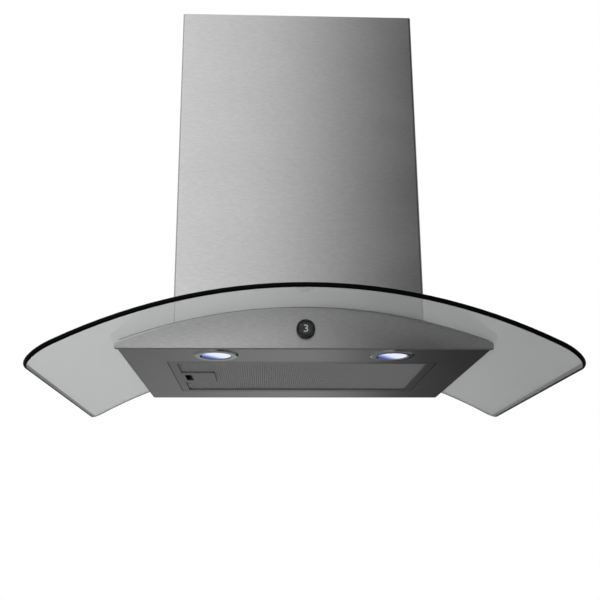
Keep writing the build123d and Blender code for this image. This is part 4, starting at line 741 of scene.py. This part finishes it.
def fastener_tree(recess: bool) -> PartTree:
    """Builds the tree of screws or rivets: a domed head on a shank at each point.

    Args:
        recess: Whether the head has a cross recess.

    Returns:
        The tree.
    """
    name = "pan_head_screws" if recess else "domed_rivets"
    part = PartTree(name, ("Head Radius", "Head Height", "Dome", "Shank Radius", "Shank Length"))
    tree, given = part.tree, part.given
    radius, height, dome = given["Head Radius"], given["Head Height"], given["Dome"]
    # The head: a disc whose upper side sinks with the square of the distance from its middle.
    disc = {"Vertices": 24, "Side Segments": 1, "Fill Segments": 4}
    disc |= {"Radius": radius, "Depth": height}
    blank = add(tree, "GeometryNodeMeshCylinder", disc, fill_type="TRIANGLE_FAN")
    place = add(tree, "GeometryNodeInputPosition")
    x, y, z = add(tree, "ShaderNodeSeparateXYZ", {0: place}).outputs
    x_square = add(tree, "ShaderNodeMath", {0: x, 1: 2.0}, operation="POWER")
    y_square = add(tree, "ShaderNodeMath", {0: y, 1: 2.0}, operation="POWER")
    square = add(tree, "ShaderNodeMath", {0: x_square, 1: y_square}, operation="ADD")
    out = add(tree, "ShaderNodeMath", {0: square}, operation="SQRT")
    share = add(tree, "ShaderNodeMath", {0: out, 1: radius}, operation="DIVIDE")
    bend = add(tree, "ShaderNodeMath", {0: share, 1: 2.0}, operation="POWER")
    sunk = add(tree, "ShaderNodeMath", {0: bend, 1: dome}, operation="MULTIPLY")
    drop = add(tree, "ShaderNodeMath", {0: sunk, 1: -1.0}, operation="MULTIPLY")
    upper = add(tree, "ShaderNodeMath", {0: z, 1: 0.0}, operation="GREATER_THAN")
    fall = add(tree, "ShaderNodeMath", {0: drop, 1: upper}, operation="MULTIPLY")
    half = add(tree, "ShaderNodeMath", {0: height, 1: 2.0}, operation="DIVIDE")
    lift = add(tree, "ShaderNodeMath", {0: fall, 1: half}, operation="ADD")
    domed = add(tree, "ShaderNodeCombineXYZ", {2: lift})
    head = add(tree, "GeometryNodeSetPosition", {"Geometry": blank, "Offset": domed})
    if recess:
        top = add(tree, "ShaderNodeCombineXYZ", {2: height})
        # Each bar of the cross is about half the head long and a ninth of it wide.
        long = add(tree, "ShaderNodeMath", {0: radius, 1: 1.1}, operation="MULTIPLY")
        narrow = add(tree, "ShaderNodeMath", {0: radius, 1: 0.22}, operation="MULTIPLY")
        for sides in ({0: long, 1: narrow, 2: dome}, {0: narrow, 1: long, 2: dome}):
            size = add(tree, "ShaderNodeCombineXYZ", sides)
            bar = add(tree, "GeometryNodeMeshCube", {"Size": size})
            raised = add(tree, "GeometryNodeTransform", {0: bar, "Translation": top})
            cut = {"Mesh 1": head, "Mesh 2": raised}
            head = add(tree, "GeometryNodeMeshBoolean", cut, operation="DIFFERENCE")
    # The shank, below the head.
    length = given["Shank Length"]
    rod = {"Vertices": 16, "Radius": given["Shank Radius"], "Depth": length}
    shank = add(tree, "GeometryNodeMeshCylinder", rod)
    depth = add(tree, "ShaderNodeMath", {0: length, 1: -2.0}, operation="DIVIDE")
    below = add(tree, "ShaderNodeCombineXYZ", {2: depth})
    lowered = add(tree, "GeometryNodeTransform", {0: shank, "Translation": below})
    both = add(tree, "GeometryNodeJoinGeometry", {0: head})
    feed(tree, both, {0: lowered})
    facing = add(
        tree, "GeometryNodeInputNamedAttribute", {"Name": "facing"}, data_type="FLOAT_VECTOR"
    )
    turned = add(tree, "FunctionNodeAlignRotationToVector", {"Vector": facing}, axis="Z")
    copies = {"Points": given["Geometry"], "Instance": both, "Rotation": turned}
    part.finish(add(tree, "GeometryNodeInstanceOnPoints", copies))
    return part


def point_mesh(points: list[tuple[Vector, Vector]]) -> bpy.types.Mesh:
    """Makes a mesh of loose points, each with the way it faces.

    Args:
        points: Place and direction of each point, in millimetres.

    Returns:
        The mesh.
    """
    mesh = bpy.data.meshes.new("points")
    mesh.from_pydata([place * MM for place, _ in points], [], [])
    facing = mesh.attributes.new("facing", "FLOAT_VECTOR", "POINT")
    for item, (_, way) in zip(facing.data, points):
        item.vector = way
    return mesh


def joined(meshes: list[bpy.types.Mesh]) -> bpy.types.Mesh:
    """Joins meshes of one material into one.

    Args:
        meshes: The meshes.

    Returns:
        The joined mesh.
    """
    points: list[Vector] = []
    polygons: list[tuple[int, ...]] = []
    for mesh in meshes:
        base = len(points)
        points += [v.co.copy() for v in mesh.vertices]
        polygons += [tuple(base + i for i in p.vertices) for p in mesh.polygons]
    made = bpy.data.meshes.new("joined")
    made.from_pydata(points, [], polygons)
    made.materials.append(meshes[0].materials[0])
    return made


@dataclass(frozen=True)
class Fastener:
    """Sizes of one kind of screw or rivet, in millimetres.

    The dome is how far the head's rim lies below its top.
    """

    head_radius: float
    head_height: float
    dome: float
    shank_radius: float
    shank_length: float

    def values(self, material: bpy.types.Material) -> dict[str, object]:
        """Gives the inputs of the fastener tree.

        Args:
            material: The fastener's finish.

        Returns:
            Value of each named input.
        """
        return {
            "Head Radius": self.head_radius * MM,
            "Head Height": self.head_height * MM,
            "Dome": self.dome * MM,
            "Shank Radius": self.shank_radius * MM,
            "Shank Length": self.shank_length * MM,
            "Material": material,
        }


# Low domed rivets between the deck and the panels.
DECK_RIVET = Fastener(
    head_radius=3.0, head_height=0.6, dome=0.42, shank_radius=1.6, shank_length=3.4
)
# Pan-head screws with a cross recess, for sheet.
PAN_HEAD_SCREW = Fastener(
    head_radius=3.8, head_height=2.2, dome=1.32, shank_radius=2.0, shank_length=5.6
)


# ---------------------------------------------------------------------------
# The hood
# ---------------------------------------------------------------------------


@dataclass
class Canopy:
    """Bent glass with its seals, bushes and bolts.

    A facet of the glass is polished where the cosine between it and the bend's radius is above
    face_limit, and ground edge painted black as shade elsewhere.
    """

    rack: FinishRack
    underside: float = -205.0
    bend_radius: float = 744.0
    rise: float = 63.5182
    face_limit: float = 0.99

    def bend_axis(self) -> float:
        """Gives the height of the axis that the glass is bent about."""
        return self.underside + self.rise - self.bend_radius

    def surface(self, radius: float, x: float, y: float) -> tuple[Vector, Vector]:
        """Gives the place at x and y on an arched surface of a radius, and the way it faces."""
        up = math.sqrt(radius**2 - x**2)
        return Vector((x, y, self.bend_axis() + up)), Vector((x, 0.0, up)).normalized()

    def sheet(self) -> bpy.types.Mesh:
        """Makes the glass with its ground edge in a finish of its own, painted black as shade.

        Returns:
            The mesh.
        """
        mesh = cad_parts["glass_canopy"].data.copy()
        mesh.materials.clear()
        for finish in (GLASS, GLASS_EDGE_PAINTED_DARK):
            mesh.materials.append(self.rack.get(finish))
        axis = Vector((0.0, 0.0, self.bend_axis() * MM))
        for polygon in mesh.polygons:
            outward = polygon.center - axis
            outward.y = 0.0
            square = abs(outward.normalized().dot(polygon.normal))
            polygon.material_index = 0 if square > self.face_limit else 1
        return mesh

    def build(self) -> None:
        """Dresses the glass and what holds it."""
        made = piece("glass_sheet", self.sheet(), MAIN_BODY)
        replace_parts(made, "glass_canopy")
        self.rack.dress(SILICONE, "glass_gasket", "chimney_seal")
        self.rack.dress(NYLON, "glass_bushes")
        self.rack.dress(ZINC_PLATE, "glass_bolts", "glass_nuts")


@dataclass
class SteelBody:
    """Fascia, side panels, rear panel, tray and deck, with the rivets between them."""

    rack: FinishRack
    canopy: Canopy
    half_width: float = 270.0
    depth: float = 410.0
    rivet_setback: float = 14.5
    front_pitch: float = 96.0
    side_pitch: float = 120.0
    notch_half: float = 176.4
    seat_drop: float = 0.85
    rivet: Fastener = DECK_RIVET

    def rivet_points(self) -> list[tuple[Vector, Vector]]:
        """Finds the rivets of the deck.

        Returns:
            Place of each rivet and the way it faces, in millimetres.
        """
        front_y = -(self.depth - self.rivet_setback)
        side_x = self.half_width - self.rivet_setback
        rear_x = (self.notch_half + self.half_width) / 2
        spots = [(step * self.front_pitch, front_y) for step in range(-2, 3)]
        for side in (-1, 1):
            steps = (step * self.side_pitch for step in range(-1, 2))
            spots += [(side * side_x, step - self.depth / 2) for step in steps]
            spots.append((side * rear_x, -self.rivet_setback))
        radius = self.canopy.bend_radius - self.seat_drop
        return [self.canopy.surface(radius, x, y) for x, y in spots]

    def build(self) -> None:
        """Dresses the sheets and makes the rivets."""
        panels = ("front_fascia", "side_panel_left", "side_panel_right", "rear_panel")
        # The panels take the darker copy of the stainless: painted shade.
        self.rack.dress(STAINLESS_BODY_SHADED, *panels)
        # The tray takes a still darker copy of the stainless: painted shade on the down-facing
        # sheet.
        self.rack.dress(STAINLESS_FLAT_SHADED, "underside_panel")
        self.rack.dress(GALVANISED, "top_deck")
        values = self.rivet.values(self.rack.get(ZINC_PLATE))
        mesh = fastener_tree(recess=False).run(point_mesh(self.rivet_points()), values)
        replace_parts(piece("rivets_domed", mesh, MAIN_BODY), "deck_rivets")


@dataclass
class Chimney:
    """Two telescoping sections with their brackets and pads."""

    rack: FinishRack

    def build(self) -> None:
        """Dresses both sections and what holds them."""
        self.rack.dress(STAINLESS, "lower_chimney", "upper_chimney")
        self.rack.dress(GALVANISED, "chimney_wall_bracket", "chimney_side_brackets")
        self.rack.dress(NYLON, "chimney_pads")


@dataclass
class Blower:
    """Housing, cover, scroll, impeller and motor."""

    rack: FinishRack

    def build(self) -> None:
        """Dresses the blower."""
        self.rack.dress(GALVANISED, "blower_housing", "blower_cover", "motor_bracket")
        self.rack.dress(BLACK_NYLON, "scroll_housing", "inlet_ring", "impeller")
        self.rack.dress(STOVED_ENAMEL, "motor_body")
        self.rack.dress(GROUND_STEEL, "motor_shaft", "motor_bearings")
        self.rack.dress(ZINC_PLATE, "impeller_nut")
        self.rack.dress(WHITE_POLYMER, "run_capacitor")


@dataclass
class Outlet:
    """Duct collar with its two flaps."""

    rack: FinishRack

    def build(self) -> None:
        """Dresses the collar and the flaps."""
        self.rack.dress(BLACK_NYLON, "outlet_collar")
        self.rack.dress(MILL_ALUMINIUM, "damper_flap_left", "damper_flap_right")
        self.rack.dress(GROUND_STEEL, "damper_pin")


@dataclass
class Screws:
    """Pan-head screws of the housing, the collar and the chimney.

    Corners within reach of each other belong to one screw.  Those within end_depth of its end
    show how wide it is there, and a head is wider than the shank by head_share or more.
    """

    rack: FinishRack
    screw: Fastener = PAN_HEAD_SCREW
    reach: float = 17.7
    end_depth: float = 0.3
    head_share: float = 1.05

    def seats(self, node: str, ways: tuple[Vector, ...]) -> list[tuple[Vector, Vector]]:
        """Finds where the screws of a CAD node stand.

        Args:
            node: The CAD node that holds the screws.
            ways: The directions in which its screws may face.

        Returns:
            Place under each head and the way the head faces, in millimetres.
        """
        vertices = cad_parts[node].data.vertices
        corners = {tuple(round(c / MM, 2) for c in v.co) for v in vertices}
        loose = [Vector(corner) for corner in sorted(corners)]
        found: list[tuple[Vector, Vector]] = []
        while loose:
            first = loose[0]
            group = [p for p in loose if (p - first).length < self.reach]
            loose = [p for p in loose if (p - first).length >= self.reach]
            seat = self.seat(group, ways)
            if seat:
                found.append(seat)
        return found

    def seat(
        self, group: list[Vector], ways: tuple[Vector, ...]
    ) -> tuple[Vector, Vector] | None:
        """Finds where one screw stands: its head is the end that is wider than the shank.

        Args:
            group: The corners of the screw.
            ways: The directions in which it may face.

        Returns:
            Place under the head and the way the head faces, or None if no end is wider.
        """
        low = Vector(map(min, zip(*group)))
        high = Vector(map(max, zip(*group)))
        middle, half = (low + high) / 2, (high - low) / 2
        longest = max(range(3), key=lambda i: half[i])
        for way in ways:
            lies_along = abs(way[longest]) > 0.5
            if not lies_along:
                continue
            end = abs(half.dot(way))
            tips = [p - middle for p in group if (p - middle).dot(way) > end - self.end_depth]
            width = max((p - way * p.dot(way)).length for p in tips)
            if width > self.screw.shank_radius * self.head_share or len(ways) == 1:
                return middle + way * (end - self.screw.head_height), way
        return None

    def build(self) -> None:
        """Makes the screws with their cross recesses."""
        tree = fastener_tree(recess=True)
        values = self.screw.values(self.rack.get(ZINC_PLATE))
        front, up = Vector((0, -1, 0)), Vector((0, 0, 1))
        left, right = Vector((-1, 0, 0)), Vector((1, 0, 0))
        for node, ways in (
            ("blower_screws", (front, left, right)),
            ("collar_screws", (up,)),
            ("chimney_screws", (left, right)),
        ):
            mesh = tree.run(point_mesh(self.seats(node, ways)), values)
            made = piece(node + "_crossed", mesh, MAIN_BODY)
            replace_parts(made, node)


@dataclass
class GreaseFilter:
    """Hinged filter: frame, two layers of expanded metal, and the latch."""

    rack: FinishRack
    frame_half: float = 207.0
    middle_y: float = -196.0
    bar: float = 12.5
    groove: float = 3.6
    latch_length: float = 78.4
    pitches: int = 55
    latch_pitches: int = 8
    band_rows: int = 40
    strand_width: float = 1.6
    strand_height: float = 0.35
    levels: tuple[float, float] = (-202.1, -198.7)
    spring_seat: tuple[float, float, float] = (-142.7, -196.0, -201.0)

    def layer(self, tree: PartTree, level: float) -> bpy.types.Mesh:
        """Makes one layer of expanded metal in three bands, the middle one beside the latch.

        Args:
            tree: The tree of expanded metal.
            level: Height of the layer's middle.

        Returns:
            The mesh.
        """
        reach = self.frame_half - self.bar + self.groove
        pitch = 2 * reach / (self.pitches + 0.5)
        front = self.middle_y - 1.5 * self.latch_length
        bands = []
        for band, skipped in enumerate((0, self.latch_pitches, 0)):
            values = {
                "Start X": (skipped * pitch - reach) * MM,
                "Start Y": (front + band * self.latch_length) * MM,
                "Level": level * MM,
                "Pitch": pitch * MM,
                "Row Step": self.latch_length / self.band_rows * MM,
                "Strand Width": self.strand_width * MM,
                "Strand Height": self.strand_height * MM,
                "Peaks": 2 * (self.pitches - skipped) + 1,
                "Rows": self.band_rows,
                "Material": self.rack.get(MESH_ALUMINIUM),
            }
            bands.append(tree.run(bpy.data.meshes.new("empty"), values))
        return joined(bands)

    def build(self) -> None:
        """Dresses the frame and makes the two layers."""
        self.rack.dress(FILTER_STEEL, "filter_frame", "latch_housing")
        self.rack.dress(GROUND_STEEL, "filter_hinge_pins")
        self.rack.dress(GALVANISED, "filter_hinge_ears")
        self.rack.dress(LATCH_ABS, "latch_slider")
        self.rack.dress(SPRING_STEEL, "latch_spring")
        tree = strand_tree()
        names = ("filter_mesh_lower", "filter_mesh_upper")
        for node, level in zip(names, self.levels):
            made = piece(node + "_expanded", self.layer(tree, level), "filter")
            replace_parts(made, node)
        self.spring()

    def spring(self) -> None:
        """Makes the latch's spring as a copy of the CAD spring, riding on the filter."""
        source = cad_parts["latch_spring"]
        mesh = source.data.copy()
        mesh.transform(source.matrix_world)
        made = piece("latch_spring_coil", mesh, "filter")
        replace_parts(made, "latch_spring")
        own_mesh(made)


@dataclass
class Lamps:
    """Two recessed lamps with bezel, lens, can, board, clips and lead."""

    rack: FinishRack
    x: float = 130.5
    y: float = -370.0
    lens_radius: float = 21.8

    def build(self) -> None:
        """Dresses both lamps."""
        # Frosted acrylic lens over cool white lights: bright, with a blue shadow.
        lit = LitLens(
            "acrylic_frosted_lit",
            "#DCDFF6",
            0.4,
            centre_mm=(self.x, self.y),
            radius_mm=self.lens_radius,
        )
        self.rack.dress(lit, "lamp_lens_left", "lamp_lens_right")
        self.rack.dress(CHROME_PLATE, "lamp_bezel_left", "lamp_bezel_right")
        self.rack.dress(CAST_ALUMINIUM, "lamp_housing_left", "lamp_housing_right")
        self.rack.dress(BOARD_GREEN, "lamp_boards")
        self.rack.dress(SPRING_STEEL, "lamp_clips")
        self.rack.dress(CABLE_SLEEVE, "lamp_leads")


@dataclass
class Control:
    """Dial, button with its lit number, and the box behind them."""

    rack: FinishRack
    height: float = -176.0
    face_y: float = -417.7
    figure_height: float = 10.6
    figure_width: float = 6.2
    figure_thickness: float = 0.06

    def figure(self) -> bpy.types.Mesh:
        """Makes the lit number on the button.

        Returns:
            The mesh, in its place.
        """
        curve = bpy.data.curves.new("figure", "FONT")
        curve.body = "3"
        curve.size = 1.0
        curve.extrude = 0.5
        holder = bpy.data.objects.new("figure", curve)
        bpy.context.scene.collection.objects.link(holder)
        scene_graph = bpy.context.evaluated_depsgraph_get()
        mesh = bpy.data.meshes.new_from_object(holder.evaluated_get(scene_graph))
        bpy.data.objects.remove(holder)
        low = Vector(map(min, zip(*(v.co for v in mesh.vertices))))
        high = Vector(map(max, zip(*(v.co for v in mesh.vertices))))
        middle, span = (low + high) / 2, high - low
        size = (self.figure_width, self.figure_height, self.figure_thickness)
        fit = Matrix.Diagonal([wanted * MM / made for wanted, made in zip(size, span)]).to_4x4()
        upright = Matrix.Rotation(math.pi / 2, 4, "X")
        place = Vector((0.0, self.face_y - self.figure_thickness / 2, self.height)) * MM
        mesh.transform(Matrix.Translation(place) @ upright @ fit @ Matrix.Translation(-middle))
        mesh.materials.clear()
        mesh.materials.append(self.rack.get(DISPLAY_LIGHT))
        return mesh

    def build(self) -> None:
        """Dresses the control and makes its number."""
        self.rack.dress(DIAL_ABS, "control_dial", "control_housing")
        self.rack.dress(SMOKED_ACRYLIC, "control_button")
        self.rack.dress(BOARD_GREEN, "control_board")
        piece("display_figure", self.figure(), "button")


@dataclass
class Electrics:
    """Light driver, terminal box and cable gland."""

    rack: FinishRack

    def build(self) -> None:
        """Dresses the electrical boxes."""
        self.rack.dress(GREY_ABS, "led_driver", "terminal_box")
        self.rack.dress(BLACK_NYLON, "cable_gland")


# ---------------------------------------------------------------------------
# Studio
# ---------------------------------------------------------------------------


@dataclass
class Studio:
    """White surroundings, soft lamps, a pale floor and the camera.

    The camera's place and angles (in radians) were solved on the photograph.  The stops give the
    grey that metal mirrors from left (-1) to right (1), to the front or to the back, above or
    below the horizon, and the grey that is seen through the glass.  Each lamp has a name, a
    place and a size in metres, and a power in watts.
    """

    camera_place: tuple[float, float, float] = (-56.8, -1571.9, -474.9)
    camera_yaw: float = -0.0419
    camera_pitch: float = 0.269
    camera_roll: float = -0.0069
    lens_mm: float = 49.93
    sensor_mm: float = 36.0
    shift: float = 0.025
    floor_z: float = -1500.0
    floor_radius: float = 2200.0
    floor_sides: int = 64
    floor_colour: str = "#F2F2F2"
    floor_mirrored: str = "#7C7C7C"
    floor_roughness: float = 0.9
    floor_glow: float = 0.36
    diffuse_level: float = 0.55
    horizon_blur: float = 0.12
    side_blur: float = 0.25
    front_high: Stops = (
        (-1.0, 0.4), (-0.4, 1.0), (-0.2, 1.3), (-0.1, 1.0), (0.0, 1.0), (0.05, 0.66),
        (0.1, 0.26), (0.15, 0.02), (0.2, 0.0), (0.6, 0.0), (0.85, 0.2), (1.0, 0.3),
    )
    front_low: Stops = (
        (-1.0, 0.4), (-0.3, 0.7), (-0.12, 0.8), (-0.04, 0.6), (0.02, 0.5), (0.06, 0.4),
        (0.12, 0.06), (0.5, 0.02), (0.8, 0.2),
    )
    back_low: Stops = (
        (-1.0, 0.5), (-0.3, 0.2), (-0.15, 0.25), (0.05, 0.42), (0.1, 0.31), (0.15, 0.05),
        (0.3, 0.0), (0.5, 0.05), (0.8, 0.3),
    )
    back_high: Stops = ((-1.0, 0.6), (0.0, 0.5), (0.3, 0.25), (1.0, 0.25))
    behind_glass: Stops = ((-1.0, 0.47), (-0.12, 0.54), (0.1, 0.33), (0.3, 0.16), (1.0, 0.37))
    lamps: tuple[tuple[str, tuple[float, float, float], float, float], ...] = (
        ("key", (-1.9, -2.3, 1.7), 1.6, 42.0),
        ("fill", (2.2, -1.8, 0.9), 1.4, 6.0),
        ("back", (0.6, 2.4, 1.6), 1.6, 22.0),
    )
    lamp_aim: tuple[float, float, float] = (0.0, -0.2, 0.0)

    def world(self) -> None:
        """Builds surroundings that are white to look at and graded as metal mirrors them."""
        world = bpy.data.worlds.new("studio")
        world.use_nodes = True
        bpy.context.scene.world = world
        tree = world.node_tree
        ray = add(tree, "ShaderNodeLightPath").outputs
        way = add(tree, "ShaderNodeTexCoord").outputs["Generated"]
        x, y, z = add(tree, "ShaderNodeSeparateXYZ", {0: way}).outputs
        level: dict[str, object] = {"diffuse": self.diffuse_level, "white": 1.0}
        for name in ("front_high", "front_low", "back_low", "back_high", "behind_glass"):
            level[name] = self.grade(tree, x, getattr(self, name))
        factor: dict[str, object] = {
            "transmitted": ray["Is Transmission Ray"],
            "from_camera": ray["Is Camera Ray"],
        }
        for name, part, blur in (("up", z, self.horizon_blur), ("back", y, self.side_blur)):
            step = {"Value": part, "From Min": -blur, "From Max": blur}
            eased = add(tree, "ShaderNodeMapRange", step, interpolation_type="SMOOTHSTEP")
            factor[name] = eased
        for name, count in (("bounced", "Glossy Depth"), ("scattered", "Diffuse Depth")):
            at_least_one = {0: ray[count], 1: 0.5}
            factor[name] = add(tree, "ShaderNodeMath", at_least_one, operation="GREATER_THAN")
        for name, share, first, second in (
            ("front", "up", "front_low", "front_high"),
            ("rear", "up", "back_low", "back_high"),
            ("mirrored", "back", "front", "rear"),
            ("inside", "bounced", "behind_glass", "mirrored"),
            ("through", "transmitted", "mirrored", "inside"),
            ("lit", "scattered", "through", "diffuse"),
            ("seen", "from_camera", "lit", "white"),
        ):
            inputs = {0: factor[share], 2: level[first], 3: level[second]}
            level[name] = add(tree, "ShaderNodeMix", inputs, data_type="FLOAT")
        white = (1.0, 1.0, 1.0, 1.0)
        feed(tree, tree.nodes["Background"], {"Color": white, "Strength": level["seen"]})

    @staticmethod
    def grade(
        tree: bpy.types.NodeTree, value: bpy.types.NodeSocket, stops: Stops
    ) -> bpy.types.Node:
        """Grades a direction from left (-1) to right (1) in greys.

        Args:
            tree: The tree that gets the nodes.
            value: The direction's share along X.
            stops: Place and grey of each stop.

        Returns:
            The node that gives the grey.
        """
        inputs = {"Value": value, "From Min": -1.0, "From Max": 1.0}
        across = add(tree, "ShaderNodeMapRange", inputs)
        ramp = add(tree, "ShaderNodeValToRGB", {0: across})
        steps = ramp.color_ramp.elements
        while len(steps) < len(stops):
            steps.new(0.5)
        for element, (place, grey) in zip(steps, stops):
            element.position = (place + 1.0) / 2.0
            element.color = (grey, grey, grey, 1.0)
        return ramp

    def floor(self) -> None:
        """Lays a pale round floor that keeps the hood's shadow."""
        mesh = bpy.data.meshes.new("floor")
        radius, sides = self.floor_radius, self.floor_sides
        turns = [math.tau * step / sides for step in range(sides)]
        rim = [
            Vector((radius * math.cos(t), radius * math.sin(t), self.floor_z)) * MM for t in turns
        ]
        mesh.from_pydata(rim, [], [tuple(range(sides))])
        material = bpy.data.materials.new("floor_painted_white")
        material.use_nodes = True
        tree = material.node_tree
        ray = add(tree, "ShaderNodeLightPath").outputs
        # Metal mirrors a darker floor than the one that is seen.
        colours = toned(ray["Is Glossy Ray"], self.floor_colour, self.floor_mirrored)
        seen = {0: ray["Is Camera Ray"], 1: ray["Is Transmission Ray"]}
        shown = add(tree, "ShaderNodeMath", seen, operation="MAXIMUM")
        lifted = {0: shown, 1: self.floor_glow}
        paint = {
            "Base Color": add(tree, "ShaderNodeMix", colours, data_type="RGBA").outputs[2],
            "Roughness": self.floor_roughness,
            "Emission Color": (1.0, 1.0, 1.0, 1.0),
            "Emission Strength": add(tree, "ShaderNodeMath", lifted, operation="MULTIPLY"),
        }
        feed(tree, tree.nodes["Principled BSDF"], paint)
        mesh.materials.append(material)
        floor = bpy.data.objects.new("floor", mesh)
        bpy.context.scene.collection.objects.link(floor)

    def light(self) -> None:
        """Hangs the soft lamps."""
        for name, place, size, power in self.lamps:
            lamp = bpy.data.lights.new(name, "AREA")
            lamp.shape = "DISK"
            lamp.size = size
            lamp.energy = power
            holder = bpy.data.objects.new(name, lamp)
            holder.location = place
            holder.visible_glossy = False
            aim = Vector(self.lamp_aim) - Vector(place)
            holder.rotation_euler = aim.to_track_quat("-Z", "Y").to_euler()
            bpy.context.scene.collection.objects.link(holder)

    def camera(self) -> None:
        """Sets the camera at the photograph's place."""
        yaw, pitch, roll = self.camera_yaw, self.camera_pitch, self.camera_roll
        right = Vector((math.cos(yaw), math.sin(yaw), 0.0))
        ahead = Vector((-math.sin(yaw), math.cos(yaw), 0.0))
        up = Vector((0.0, 0.0, 1.0))
        view = ahead * math.cos(pitch) + up * math.sin(pitch)
        above = up * math.cos(pitch) - ahead * math.sin(pitch)
        across = right * math.cos(roll) + above * math.sin(roll)
        over = above * math.cos(roll) - right * math.sin(roll)
        place = Vector(self.camera_place) * MM
        data = bpy.data.cameras.new("camera")
        data.lens = self.lens_mm
        data.sensor_width = self.sensor_mm
        data.shift_y = self.shift
        data.clip_start = 0.01
        camera = bpy.data.objects.new("camera", data)
        turn = Matrix((across, over, -view)).transposed().to_4x4()
        camera.matrix_world = Matrix.Translation(place) @ turn
        bpy.context.scene.collection.objects.link(camera)
        bpy.context.scene.camera = camera

    def build(self) -> None:
        """Sets up the whole studio."""
        bpy.context.scene.view_settings.view_transform = "Standard"
        self.world()
        self.floor()
        self.light()
        self.camera()


def main() -> None:
    """Builds every part of the hood in order."""
    logging.basicConfig(level=logging.INFO, format="%(message)s")
    rack = FinishRack()
    canopy = Canopy(rack)
    parts = (
        Studio(),
        canopy,
        SteelBody(rack, canopy),
        Chimney(rack),
        Blower(rack),
        Outlet(rack),
        Screws(rack),
        GreaseFilter(rack),
        Lamps(rack),
        Control(rack),
        Electrics(rack),
    )
    for part in parts:
        part.build()
        log.info("built %s", type(part).__name__)


if __name__ == "__main__":
    main()
